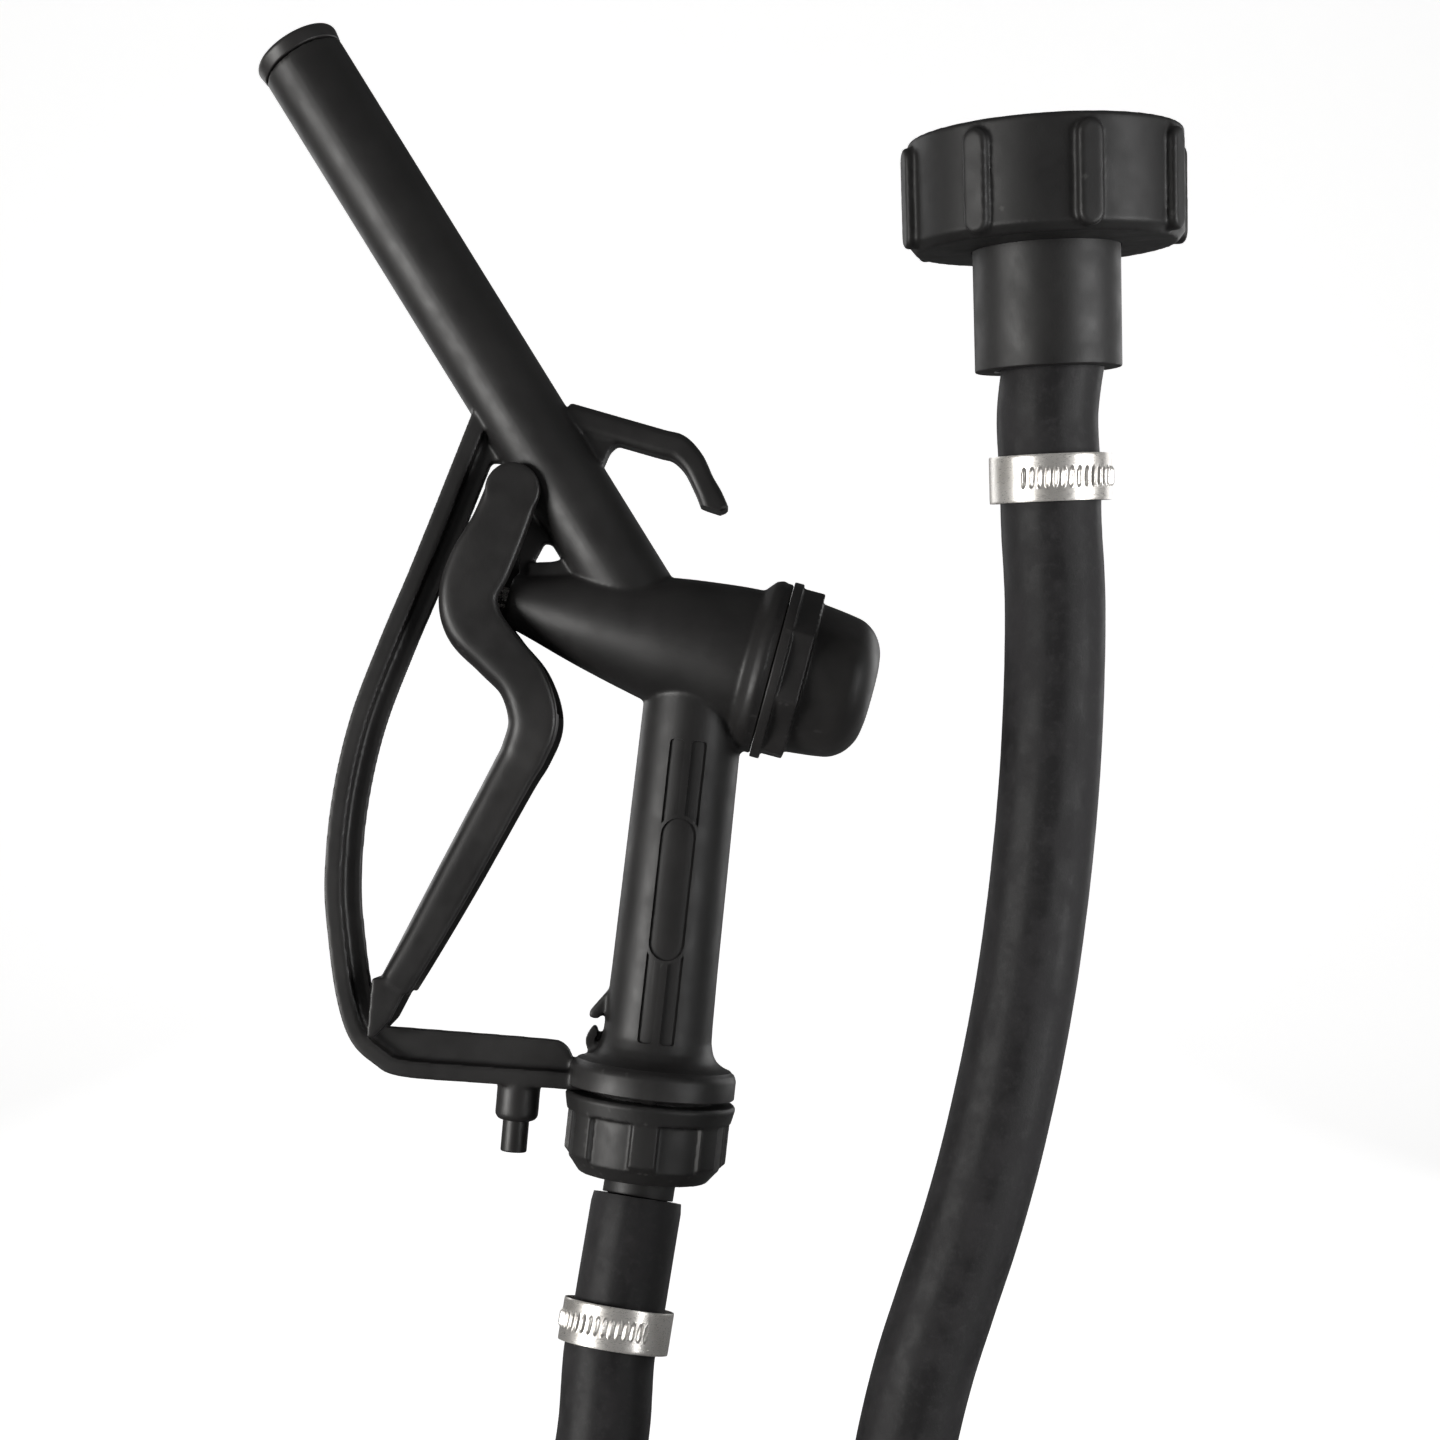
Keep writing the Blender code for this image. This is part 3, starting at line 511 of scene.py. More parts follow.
def steel(name, rough, brushed=None, metallic=1.0):
    """Bright stainless steel with fine lines, darker stains, and painted shade that darkens its hollows."""
    made = Nodes(name)
    vector = made.place
    if brushed:
        turn = made.add("ShaderNodeMapping")
        turn.inputs["Scale"].default_value = brushed
        made.link(made.place, turn.inputs["Vector"])
        vector = turn.outputs["Vector"]
    lines = made.noise(900.0, 3.0, 0.6, vector)
    stain = made.ramp(made.noise(120.0, 4.0), 0.0, 0.7, 0.45, 0.8)
    tint = made.blend(stain, (0.79, 0.765, 0.73), (0.56, 0.53, 0.48))
    shape = made.add("ShaderNodeNewGeometry").outputs["Pointiness"]
    # painted shade: concave hollows (low pointiness) are blended towards dark brown, standing in for the shade
    # that falls in them
    hollow_shade = made.ramp(shape, 1.0, 0.0, 0.40, 0.49)
    made.link(made.blend(hollow_shade, tint, (0.10, 0.085, 0.055)), made.shader.inputs["Base Color"])
    made.shader.inputs["Metallic"].default_value = metallic
    made.link(made.ramp(lines, rough - 0.06, rough + 0.12), made.shader.inputs["Roughness"])
    made.bump(lines, 0.12, 0.00003)
    return made.look


BODY_PLASTIC = plastic("body_plastic", 1.0, 0.47)
CAP_PLASTIC = plastic("cap_plastic", 1.45, 0.43)
LEVER_PLASTIC = plastic("lever_plastic", 1.05, 0.43)
NUT_PLASTIC = plastic("nut_plastic", 0.85, 0.52)
COUPLING_PLASTIC = plastic("coupling_plastic", 0.72, 0.52)
INNER_PLASTIC = plastic("inner_plastic", 1.3, 0.45)
HOSE_RUBBER = hose_rubber("hose_rubber")
SEAL_RUBBER = seal_rubber("seal_rubber")
CLAMP_STEEL = steel("clamp_steel", 0.30, (1.0, 1.0, 9.0), 0.8)
SCREW_STEEL = steel("screw_steel", 0.24)
SPRING_STEEL = steel("spring_steel", 0.28)


# --- nozzle body ---
def barrel_profile():
    """Bead, barrel and snout of the valve housing, from the cap end to the snout's tip."""
    taper = smooth_line([(21.1, 13.6), (20.5, 6.0), (18.7, -8.0), (16.8, -18.0), (14.6, -28.0),
                         (12.4, -37.0), (9.4, -48.0), (7.8, -54.6)], 6)
    return [(0, BARREL_END - 1), (23.2, BARREL_END - 1), (24.7, 20.0), (25.1, 18.2), (24.4, 16.4),
            (22.8, 15.0), *taper, (7.0, SNOUT_END), (0, SNOUT_END)]


def grip_profile(inset=0.0):
    """Grip, cove and base flange, from the foot up (the frame points down)."""
    shape = [(0, STUB_FOOT), (STUB_RADIUS - 1, STUB_FOOT), (STUB_RADIUS, STUB_FOOT - 1),
             (STUB_RADIUS, BASE_FOOT), (BASE_RADIUS - 0.4, BASE_FOOT),
             (BASE_RADIUS, BASE_FOOT - 0.4), (BASE_RADIUS, 122.5),
             (BASE_RADIUS - 0.5, BASE_TOP), (21.4, 118.8), (19.4, 117.9), (17.6, 116.6),
             (16.4, 114.6), (15.6, 111.5), (15.4, 107), (15.1, 92), (14.5, 30), (14.3, 0),
             (0, 0)]
    return [(max(radius - inset, 0), height) for radius, height in shape]


def guard_line():
    """The guard's outer band, from the spout down and along the bottom bar."""
    points = [(-61.5, 67.7), (-78.6, 24.9), (-88.3, 2.0), (-96.8, -20.5), (-101.9, -43.1),
              (-103.9, -65.7), (-102.8, -82.5), (-100.5, -98.7), (-96.9, -109.7),
              (-90.9, -115.7), (-84.0, -118.9), (-62.0, -120.7), (-36.0, -122.6), (-16.0, -124.0)]
    return smooth_line(points, 8)


def bar_web_outline():
    """The taller web on the bottom bar, with a rounded end."""
    end = []
    for step in range(9):
        angle = math.radians(90 - step * 11)
        end.append((-42.3 + 5.8 * math.cos(angle), -117.0 + 5.8 * math.sin(angle)))
    return [(-99.5, -100.0), (-93.9, -98.6), (-92.9, -102.0), (-91.3, -105.4), (-89.4, -107.4),
            (-53.5, -110.2), *end, (-36.6, -122.0), (-62.0, -120.4), (-84.0, -118.7),
            (-90.7, -115.6), (-96.7, -109.6)]


def hook_line():
    """The hanging hook: a straight arm, a bend and a short leg."""
    arm = Vector((math.cos(HOOK_FALL), -math.sin(HOOK_FALL)))
    lift = Vector((-arm.y, arm.x)) * HOOK_HALF
    under = -Vector((HUB_AT.x, HUB_AT.z)) / MM + lift
    points = [(*(under + arm * reach), HOOK_HALF, HOOK_HALF) for reach in (-24, -10, 4, 9)]
    return points + [(-1.9, 53.2, 3.4, 3.4), (0.9, 47.6, 3.2, 3.2), (3.0, 43.4, 3.5, 3.5),
                     (4.9, 38.6, 3.7, 3.7)]


def clip_arms():
    """Outlines of the clip seat on the grip: a wedge above and a curled finger below."""
    wedge = [(-20.0, -90.0), (-23.1, -93.4), (-31.4, -102.8), (-31.6, -104.7), (-29.0, -105.2),
             (-27.2, -103.0), (-27.1, -101.4), (-24.5, -101.8), (-20.0, -102.0)]
    finger = [(-22.5, -116.8, 2.0, 2.0), (-26.5, -116.0, 1.9, 1.9), (-29.9, -114.3, 1.6, 1.6),
              (-31.2, -111.2, 1.35, 1.35), (-30.0, -108.5, 1.3, 1.3), (-29.3, -108.1, 1.1, 1.1)]
    return rounded(wedge, 0.6), ribbon(smooth_line(finger))


def body_solids(work):
    revolve(work, barrel_profile(), VALVE)
    revolve(work, [(0, -END_RING - 0.1), (SPOUT_RADIUS, -END_RING - 0.1),
                   (SPOUT_RADIUS, -SPOUT_LENGTH), (0, -SPOUT_LENGTH)], SPOUT)
    revolve(work, grip_profile(), GRIP)
    line = guard_line()
    half = GUARD_DEPTH / 2
    slab(work, ribbon([(x, z, GUARD_BAND, GUARD_BAND) for x, z in line]), -half, half, HUB)
    side = ribbon([(x, z, GUARD_BAND + WEB_INSIDE, WEB_OUTSIDE) for x, z in line
                   if z > WEB_FOOT])
    slab(work, side, -WEB_DEPTH / 2, WEB_DEPTH / 2, HUB)
    slab(work, bar_web_outline(), -WEB_DEPTH / 2 - 0.1, WEB_DEPTH / 2 + 0.1, HUB)
    gusset = [(-63.5, 68.5), (-66.0, 53.4), (-54.0, 53.4), (-50.0, 41.0), (-38.0, 42.0),
              (-56.0, 72.0)]
    slab(work, rounded(gusset, 2.0), -WEB_DEPTH / 2 - 0.3, WEB_DEPTH / 2 + 0.3, HUB)
    revolve(work, rounded([(0, LUG_HALF), (LUG_RADIUS, LUG_HALF), (LUG_RADIUS, -LUG_HALF),
                           (0, -LUG_HALF)], 0.5, closed=False), PIVOT_AXLE, PEG_ROUND)
    half = HOOK_DEPTH / 2
    bar = smooth_line(hook_line())
    for step in range(HOOK_LAYERS + 1):
        turn = math.pi / 2 * step / HOOK_LAYERS
        inset = HOOK_EDGE * (1 - math.cos(turn))
        deep = half - HOOK_EDGE * (1 - math.sin(turn))
        slab(work, ribbon([(x, z, w - inset, w - inset) for x, z, w, w in bar]), -deep, deep, HUB)
    brace = [(-38.0, 62.0), (-28.0, 51.5), (-26.8, 54.2), (-25.6, 57.0), (-23.0, 58.9),
             (-26.0, 62.5)]
    slab(work, rounded(brace, 1.5), -half + 1, half - 1, HUB)
    lug_web = [(-56.0, 43.5), (-53.0, 33.0), (-51.2, 21.5), (-47.3, 21.0), (-47.3, 25.2),
               (-44.4, 30.5), (-42.0, 30.0), (-49.5, 47.0)]
    slab(work, lug_web, -WEB_DEPTH / 2 - 0.6, WEB_DEPTH / 2 + 0.6, HUB)
    crook = [(-49.0, 20.0), (-48.6, 24.6), (-42.0, 24.8), (-39.6, 25.4), (-33.0, 17.0)]
    slab(work, crook, -WEB_DEPTH, WEB_DEPTH, HUB)
    for arm, wide in zip(clip_arms(), (3.0, 3.1)):
        slab(work, arm, -wide, wide, HUB)
    boss = [(0, 20.2), (6.15, 20.2), (6.15, 10.3), (4.9, 9.0), (0, 9.0)]
    revolve(work, rounded(boss, 0.5, closed=False), LATCH, PEG_ROUND)
    tower(work, [(-2.0, -22.1), (2.0, -22.1), (2.0, -19.5), (-2.0, -19.5)], 126.3, 128.1, GRIP)


def body_hollows():
    """Valve chamber, spout bore, grip bore and latch hole: (profile, frame, sides)."""
    chamber = [(0, 22), (19.2, 22), (19.2, 19.0), (CHAMBER_RADIUS, 19.0), (CHAMBER_RADIUS, -7),
               (10.4, -7), (10.4, -26), (6.4, -41), (5.3, -42.5), (5.3, -52.8), (3.4, -52.8),
               (3.4, -60), (0, -60)]
    spout = [(0, 2), (11.1, 2), (11.1, -10.1), (SPOUT_BORE, -10.1),
             (SPOUT_BORE, 24 - SPOUT_LENGTH), (7.5, 17 - SPOUT_LENGTH), (0, 17 - SPOUT_LENGTH)]
    grip = [(0, 140), (GRIP_BORE, 140), (GRIP_BORE, 12.2), (0, 12.2)]
    latch = [(0, 38.7), (1.35, 38.7), (1.35, 21.7), (4.05, 21.7), (4.05, 6.7), (0, 6.7)]
    return ((chamber, VALVE, BORE_ROUND), (spout, SPOUT, BORE_ROUND),
            (grip, GRIP, BORE_ROUND), (latch, LATCH, PEG_HOLE_ROUND))


def hook_end():
    """The angled cut across the end of the hook's leg."""
    end = [(-4.0, 42.2), (0.5, 40.8), (7.0, 38.7), (8.3, 40.3), (14.0, 40.3), (14.0, 30.0),
           (-4.0, 30.0)]
    work = bmesh.new()
    slab(work, end, -8, 8, HUB)
    return work


def panel_marks():
    """Outlines of the grip's recessed marks: paired slots, a blank oval, paired slots."""
    top = 48.5
    foot = 88.6
    half = 5.0
    gap = 0.9
    wide = 5.2
    narrow = 1.0
    marks = [stadium(0.0, top, foot, half, 16)]
    for far, centre, way in ((26.6, top + half, -1), (112.0, foot - half, 1)):
        for side in (-1, 1):
            slot = [(side * narrow, far), (side * wide, far)]
            for step in range(7):
                x = wide - (wide - narrow) * step / 6
                slot.append((side * x, centre + way * math.sqrt((half + gap) ** 2 - x * x)))
            marks.append(rounded(slot, 1.1, 4))
    return marks


def carve_marks(body):
    """Shallow marks that follow the grip's round skin, front and back."""
    for outline in panel_marks():
        for side in (-1, 1):
            work = bmesh.new()
            slab(work, outline, side * 22, side * 8, GRIP)
            mark = object_from("mark", work)
            carve(mark, turned(grip_profile(MARK_DEPTH), GRIP))
            combine(body, mark)


def make_body():
    work = bmesh.new()
    body_solids(work)
    body = moulded(object_from("nozzle_moulding", work), MOULD_VOXEL, 3)
    bead = [(0, BARREL_END), (24.3, BARREL_END), (24.7, BARREL_END - 0.4), (24.75, 19.0),
            (24.2, 17.0), (0, 17.0)]
    carve(body, turned(bead, VALVE, FINE_ROUND), "UNION")
    flange = [(0, STUB_FOOT - 5), (17, STUB_FOOT - 5), (17, BASE_FOOT),
              (BASE_RADIUS - 0.3, BASE_FOOT), (BASE_RADIUS, BASE_FOOT - 0.3),
              (BASE_RADIUS, 121.5), (BASE_RADIUS - 0.4, 120.3), (21.9, 118.9), (0, 118.9)]
    carve(body, turned(flange, GRIP, FINE_ROUND), "UNION")
    for hollow in body_hollows():
        carve(body, turned(*hollow))
    carve(body, hook_end())
    carve_marks(body)
    finished(body, "nozzle", BODY_PLASTIC, "nozzle_body")


def make_end_ring():
    profile = [(SPOUT_BORE, 0), (END_RING_RADIUS - 0.5, 0), (END_RING_RADIUS, -0.9),
               (SPOUT_RADIUS + 0.05, 0.2 - END_RING), (10.85, 0.2 - END_RING),
               (10.85, -9.7), (SPOUT_BORE, -9.7)]
    work = turned(rounded(profile, 0.45), SPOUT, FINE_ROUND)
    finished(object_from("spout_tip_ring", work), "nozzle", CAP_PLASTIC, "spout_end_ring")


# --- valve cap ---
def make_cap():
    work = bmesh.new()
    start = BARREL_END + 0.2
    dome = smooth_line([(21.9, 29.0), (21.5, 33.0), (20.8, 39.0), (19.8, 43.6), (17.2, 47.2),
                        (13.2, 49.6), (8.5, 50.5)], 6)
    revolve(work, [(0, 50.5)] + dome[::-1] + [(21.9, 24.2), (0, 24.2)], VALVE, FINE_ROUND)
    revolve(work, rounded([(0, 24.2), (25.6, 24.2), (25.6, start), (0, start)], 0.5,
                          closed=False), VALVE, FINE_ROUND)
    revolve(work, [(0, start + 1), (CHAMBER_RADIUS - 0.3, start + 1), (CHAMBER_RADIUS - 0.3, 9),
                   (0, 9)], VALVE)
    corner = 47.0 / 2 / math.cos(math.pi / 8)
    outline = [(corner * math.cos(math.pi / 8 + k * math.pi / 4),
                corner * math.sin(math.pi / 8 + k * math.pi / 4)) for k in range(8)]
    tower(work, rounded(outline, 0.5, 3), 23.0, 30.5, VALVE)
    cap = moulded(object_from("cap_moulding", work), FINE_VOXEL, 2)
    flange = [(0, 24.1), (25.6, 24.1), (25.6, start - 0.1), (0, start - 0.1)]
    carve(cap, turned(rounded(flange, 0.4, closed=False), VALVE, FINE_ROUND), "UNION")
    hollow = [(0, 44), (3.35, 44), (3.35, 22.9), (6.0, 22.9), (6.0, 46.5), (12.8, 46.5),
              (12.8, 8), (0, 8)]
    carve(cap, turned(hollow, VALVE, BORE_ROUND))
    finished(cap, "nozzle", CAP_PLASTIC, "valve_cap")


# --- lever ---
def lever_stations():
    """Centre line of the lever from the hub: (x, z, half width, half depth, roundness)."""
    low = LEVER_LOW_HALF
    return [(-52.3, 43.7, 7.7, FORK_HALF, 9.0), (-56.3, 33.5, 8.1, FORK_HALF, 9.0),
            (-61.2, 23.6, 9.0, FORK_HALF, 9.0), (-64.9, 15.0, 8.6, FORK_HALF, 6.0),
            (-63.6, 6.6, 8.6, FORK_HALF, 4.5), (-57.0, -1.6, 7.6, FORK_HALF, 4.0),
            (-50.1, -9.6, 7.2, FORK_HALF, 4.0), (-47.0, -20.0, 7.3, 13.2, 3.6),
            (-49.6, -29.0, 6.8, 12.0, 3.2), (-54.0, -37.1, 6.4, 11.0, 3.0),
            (-69.5, -65.7, 6.0, low, 3.0), (-80.0, -84.6, 5.4, low, 3.0),
            (-86.2, -95.6, 4.9, low, 4.0)]


def loft(work, stations, matrix, around=72):
    """Sections across a centre line in the XZ plane: round to the left, square to the right."""
    rings = []
    for i, (x, z, wide, deep, round_side) in enumerate(stations):
        before = stations[max(i - 1, 0)]
        after = stations[min(i + 1, len(stations) - 1)]
        ahead = Vector((after[0] - before[0], 0, after[1] - before[1])).normalized()
        across = Vector((-ahead.z, 0, ahead.x))
        loop = []
        for k in range(around):
            angle = 2 * math.pi * (k + 0.5) / around
            c, s = math.cos(angle), math.sin(angle)
            square = round_side if c < 0 else 12.0
            u = math.copysign(abs(c) ** (2 / square), c) * wide
            v = math.copysign(abs(s) ** (2 / square), s) * deep
            spot = Vector((x, v, z)) + across * u
            loop.append(work.verts.new(place(matrix, *spot)))
        rings.append(loop)
    for one, two in zip(rings, rings[1:]):
        bridge(work, one, two)
    work.faces.new(rings[0])
    work.faces.new(rings[-1][::-1])


def make_lever():
    work = bmesh.new()
    loft(work, smooth_line(lever_stations(), 8), HUB)
    revolve(work, [(0, FORK_HALF), (EYE_RADIUS, FORK_HALF), (EYE_RADIUS, -FORK_HALF),
                   (0, -FORK_HALF)], PIVOT_AXLE)
    tips = [(-92.2, -93.0), (-80.8, -93.0), (-87.4, -105.6), (-91.7, -110.0), (-93.7, -110.0)]
    slab(work, rounded(tips, 0.8), 0.25 - LEVER_LOW_HALF, LEVER_LOW_HALF - 0.25, HUB)
    lever = moulded(object_from("trigger_lever", work), FINE_VOXEL, 14)
    work = bmesh.new()
    fork = [(-80, 25), (-61.6, 25), (-65.4, 11), (-70.6, 9), (-66.8, 4), (-58.7, -6.8),
            (-54, -13), (-51.5, -19), (-30, -19), (-30, 0), (-40, 28), (-32, 64), (-80, 64)]
    slab(work, rounded(fork, 1.5), -FORK_GAP, FORK_GAP, HUB)
    carve(lever, work)
    work = bmesh.new()
    groove = [(-51.7, -17), (-52.6, -26.6), (-58.6, -38.4), (-67.5, -55.6), (-79.8, -78.4),
              (-88.6, -96), (-100, -96), (-100, -115), (-70, -115), (-60, -80), (-40, -50),
              (-30, -25), (-30, -17)]
    slab(work, rounded(groove, 1.0), -LEVER_LOW_GAP, LEVER_LOW_GAP, HUB)
    carve(lever, work)
    finished(lever, "trigger", LEVER_PLASTIC, "lever")


# --- union nut and tail ---
def make_union_nut():
    crest = 23.3
    valley = 21.6
    ridge_half = math.radians(9)
    foot_half = ridge_half * 1.12
    period = 2 * math.pi / NUT_RIDGES
    outline = []
    for k in range(NUT_RIDGES):
        centre = -math.pi / 2 + k * period
        for step in range(9):
            angle = centre + (step / 4 - 1) * ridge_half
            outline.append((crest * math.cos(angle), crest * math.sin(angle)))
        start = centre + foot_half
        gap = period - 2 * foot_half
        for step in range(16):
            angle = start + gap * step / 15
            outline.append((valley * math.cos(angle), valley * math.sin(angle)))
    work = bmesh.new()
    tower(work, outline, 132.0, NUT_FOOT, GRIP)
    nut = object_from("union_nut_moulding", work)
    taper = [(0, NUT_FOOT), (18.4, NUT_FOOT), (21.0, 147.6), (23.5, 145.2), (24.2, 131.0),
             (0, 131.0)]
    carve(nut, turned(taper, GRIP), "INTERSECT")
    work = bmesh.new()
    work.from_mesh(nut.data)
    revolve(work, [(0, 133.6), (23.5, 133.6), (24.4, 129.4), (23.9, NUT_TOP), (0, NUT_TOP)], GRIP)
    bpy.data.objects.remove(nut, do_unlink=True)
    nut = moulded(object_from("union_nut_moulding", work), FINE_VOXEL, 2)
    hollow = [(0, 152), (11.7, 152), (11.7, 147.9), (18.0, 147.9), (18.0, 127), (0, 127)]
    carve(nut, turned(hollow, GRIP))
    finished(nut, "union", NUT_PLASTIC, "union_nut")


def barbs(start, count, pitch, root, crest):
    points = []
    for k in range(count):
        foot = start + k * pitch
        points += [(crest, foot + 0.3), (root, foot + pitch)]
    return points


def make_tail():
    outside = [(TAIL_RADIUS, -1.6), (TAIL_RADIUS, 11.0), (8.6, 11.0)]
    outside += barbs(14.3, 4, 5.2, 8.6, 9.35)
    profile = [(6.6, -4.4), (13.0, -4.4), (13.0, -1.6)] + outside + [(6.6, outside[-1][1])]
    work = turned(rounded(profile[::-1], 0.3, 3), TAIL)
    finished(object_from("hose_tail_moulding", work), "hose_line", NUT_PLASTIC, "hose_tail")


# --- hose ---
def hose_centre_line():
    """The CAD hose's centre line: its rings of vertices, walked from the tail end."""
    mesh = frame["nodes"]["hose"].data
    keys = [tuple(round(c, 5) for c in v.co) for v in mesh.vertices]
    near = {}
    for edge in mesh.edges:
        one, two = (keys[i] for i in edge.vertices)
        near.setdefault(one, set()).add(two)
        near.setdefault(two, set()).add(one)
    first = min(near, key=lambda k: (Vector(k) - TAIL_AT).length)
    depth = (Vector(first) - TAIL_AT).dot(-TAIL_UP)
    ring = {k for k in near if abs((Vector(k) - TAIL_AT).dot(-TAIL_UP) - depth) < 0.1 * MM
            and (Vector(k) - TAIL_AT).length < 30 * MM}
    seen = set(ring)
    line = []
    while ring:
        line.append(sum((Vector(k) for k in ring), Vector()) / len(ring))
        ring = {n for k in ring for n in near[k]} - seen
        seen |= ring
    return line


def make_hose():
    rings = hose_centre_line()
    line = [Vector(p) for p in smooth_line([tuple(p) for p in rings], 8)]

    def skin(i, angle):
        sway = noise.noise(Vector((i * 0.045, math.cos(angle) * 1.4, math.sin(angle) * 1.4)))
        fine = noise.noise(Vector((i * 0.35, math.cos(angle) * 7.0, math.sin(angle) * 7.0)))
        end = min(i, len(line) - 1 - i)
        chamfer = 0.35 * max(0.0, 1 - end / 1.0)
        return HOSE_RADIUS + 0.07 * sway + 0.03 * fine + 0.035 * math.sin(14 * angle) - chamfer

    work = bmesh.new()
    tube(work, line, skin, 112, HOSE_BORE)
    finished(object_from("rubber_hose", work), "hose_line", HOSE_RUBBER, "hose")


# --- clamps ---
def clamp_matrix(label):
    """Z along the band's axis and X along its screw."""
    turn = joint(label + "_screw_turn")
    axis_x = Vector(turn["axis"])
    band = label + "_clamp_band"
    up = TAIL_UP if label == "lower" else COUPLING_UP
    centre = (end_centre(band, up) + end_centre(band, -up)) / 2
    basis = Matrix((axis_x, Vector(up).cross(axis_x), Vector(up))).transposed().to_4x4()
    return Matrix.Translation(centre) @ basis


def make_clamp_band(label, matrix, arc, body):
    """A thin band with a row of raised thread ridges along an arc of it (degrees)."""
    columns = 1080
    rows = 48
    half = CLAMP_WIDTH / 2
    first = arc[0]
    pitch = (arc[1] - first) / BAND_RIDGES

    def swell(angle, height):
        """Outward shape of the band at an angle and a height."""
        lip = 0.12 * max(0.0, (abs(height) - (half - BAND_LIP)) / BAND_LIP) ** 2
        along = ((math.degrees(angle) - first) % 360) / pitch - height * RIDGE_SLANT
        if not 0 <= along <= BAND_RIDGES:
            return -lip
        across = abs(along % 1.0 - 0.5) / 0.42
        leaf = 1 - (height / RIDGE_REACH) ** 2
        if leaf <= 0:
            return -lip
        ridge = math.cos(min(1.0, across / leaf ** 0.35) * math.pi / 2) ** 2
        return RIDGE_HEIGHT * ridge * min(1.0, leaf * 1.6) - lip

    work = bmesh.new()
    outer = []
    inner = []
    for r in range(rows + 1):
        height = -half + CLAMP_WIDTH * r / rows
        ring_out = []
        ring_in = []
        for c in range(columns):
            angle = 2 * math.pi * c / columns - math.pi
            radius = CLAMP_RADIUS + swell(angle, height) - BAND_SINK
            ring_out.append(work.verts.new(place(matrix, radius * math.cos(angle),
                                                 radius * math.sin(angle), height)))
        outer.append(ring_out)
        if r in (0, rows):
            for c in range(columns):
                angle = 2 * math.pi * c / columns - math.pi
                radius = CLAMP_RADIUS - CLAMP_BAND
                ring_in.append(work.verts.new(place(matrix, radius * math.cos(angle),
                                                    radius * math.sin(angle), height)))
            inner.append(ring_in)
    for one, two in zip(outer, outer[1:]):
        bridge(work, one, two)
    bridge(work, inner[1], inner[0])
    bridge(work, inner[0], outer[0])
    bridge(work, outer[-1], inner[1])
    finished(object_from(label + "_band", work), body, CLAMP_STEEL, label + "_clamp_band")


def screw_matrix(matrix):
    """Z along a clamp's worm screw."""
    middle = CLAMP_RADIUS + SCREW_HEIGHT
    return matrix @ Matrix.Translation((0, middle * MM, 0)) @ Matrix.Rotation(math.pi / 2, 4, "Y")


def make_clamp_box(label, matrix, body):
    """The folded housing over the worm screw, with side lips."""
    turn = screw_matrix(matrix)
    half = (CLAMP_WIDTH + 1.2) / 2
    long_half = 6.5
    outer = [(-half, -4.0), (half, -4.0), (half, -2.2), (4.6, -1.6), (4.3, 2.2), (2.6, 4.0),
             (-2.6, 4.0), (-4.3, 2.2), (-4.6, -1.6), (-half, -2.2)]
    work = bmesh.new()
    tower(work, rounded(outer, 1.0, 5), -long_half, long_half, turn)
    housing = object_from(label + "_box", work)
    work = bmesh.new()
    revolve(work, [(0, 8), (3.3, 8), (3.3, -8), (0, -8)], turn, 64)
    carve(housing, work)
    bevel = housing.modifiers.new("edges", "BEVEL")
    bevel.width = 0.25 * MM
    bevel.segments = 2
    bevel.limit_method = "ANGLE"
    bevel.angle_limit = math.radians(50)
    settle(housing)
    finished(housing, body, CLAMP_STEEL, label + "_clamp_housing")


def make_clamp_screw(label, matrix):
    """A worm screw with a slotted hexagon head."""
    turn = screw_matrix(matrix)
    work = bmesh.new()
    rings = []
    sides = 48
    foot = -8.6
    length = 15.4
    steps = 150
    run_out = 8                  # steps over which the thread fades at each end
    pitch = 2.0
    root = 2.35
    thread = 0.62                # height of the thread over its root
    for i in range(steps + 1):
        height = foot + length * i / steps
        fade = min(1.0, i / run_out, (steps - i) / run_out)
        loop = []
        for k in range(sides):
            angle = 2 * math.pi * k / sides
            phase = (height / pitch - k / sides) % 1.0
            crest = max(0.0, 1 - abs(phase - 0.5) * 3.2)
            radius = root + thread * min(1.0, crest * 1.6) * fade
            loop.append(work.verts.new(place(turn, radius * math.cos(angle),
                                             radius * math.sin(angle), height)))
        rings.append(loop)
    for one, two in zip(rings, rings[1:]):
        bridge(work, one, two)
    work.faces.new(rings[0])
    work.faces.new(rings[-1][::-1])
    screw = object_from(label + "_worm_screw", work)
    work = bmesh.new()
    outline = [(4.3 * math.cos(k * math.pi / 3), 4.3 * math.sin(k * math.pi / 3))
               for k in range(6)]
    tower(work, rounded(outline, 0.5, 3), 6.7, 11.5, turn)
    carve(screw, work, "UNION")
    work = bmesh.new()
    tower(work, [(-6, -0.6), (6, -0.6), (6, 0.6), (-6, 0.6)], 10.2, 13.0, turn)
    carve(screw, work)
    finished(screw, label + "_screw", SCREW_STEEL, label + "_clamp_screw")


# --- tank coupling ---
def rib_bar(work, matrix):
    """An upright bar with rounded ends and edges, lying against a wall at +X."""
    half = 3.2
    reach = 12.3
    layers = ((-3.0, 0.0), (1.7, 0.0), (2.2, 0.15), (2.55, 0.5), (2.7, 1.1))
    rings = []
    for out, inset in layers:
        outline = stadium(0.0, inset - reach, reach - inset, half - inset, 12)
        rings.append([work.verts.new(place(matrix, out, y, z)) for y, z in outline])
    for one, two in zip(rings, rings[1:]):
        bridge(work, one, two)
    work.faces.new(rings[0])
    work.faces.new(rings[-1][::-1])


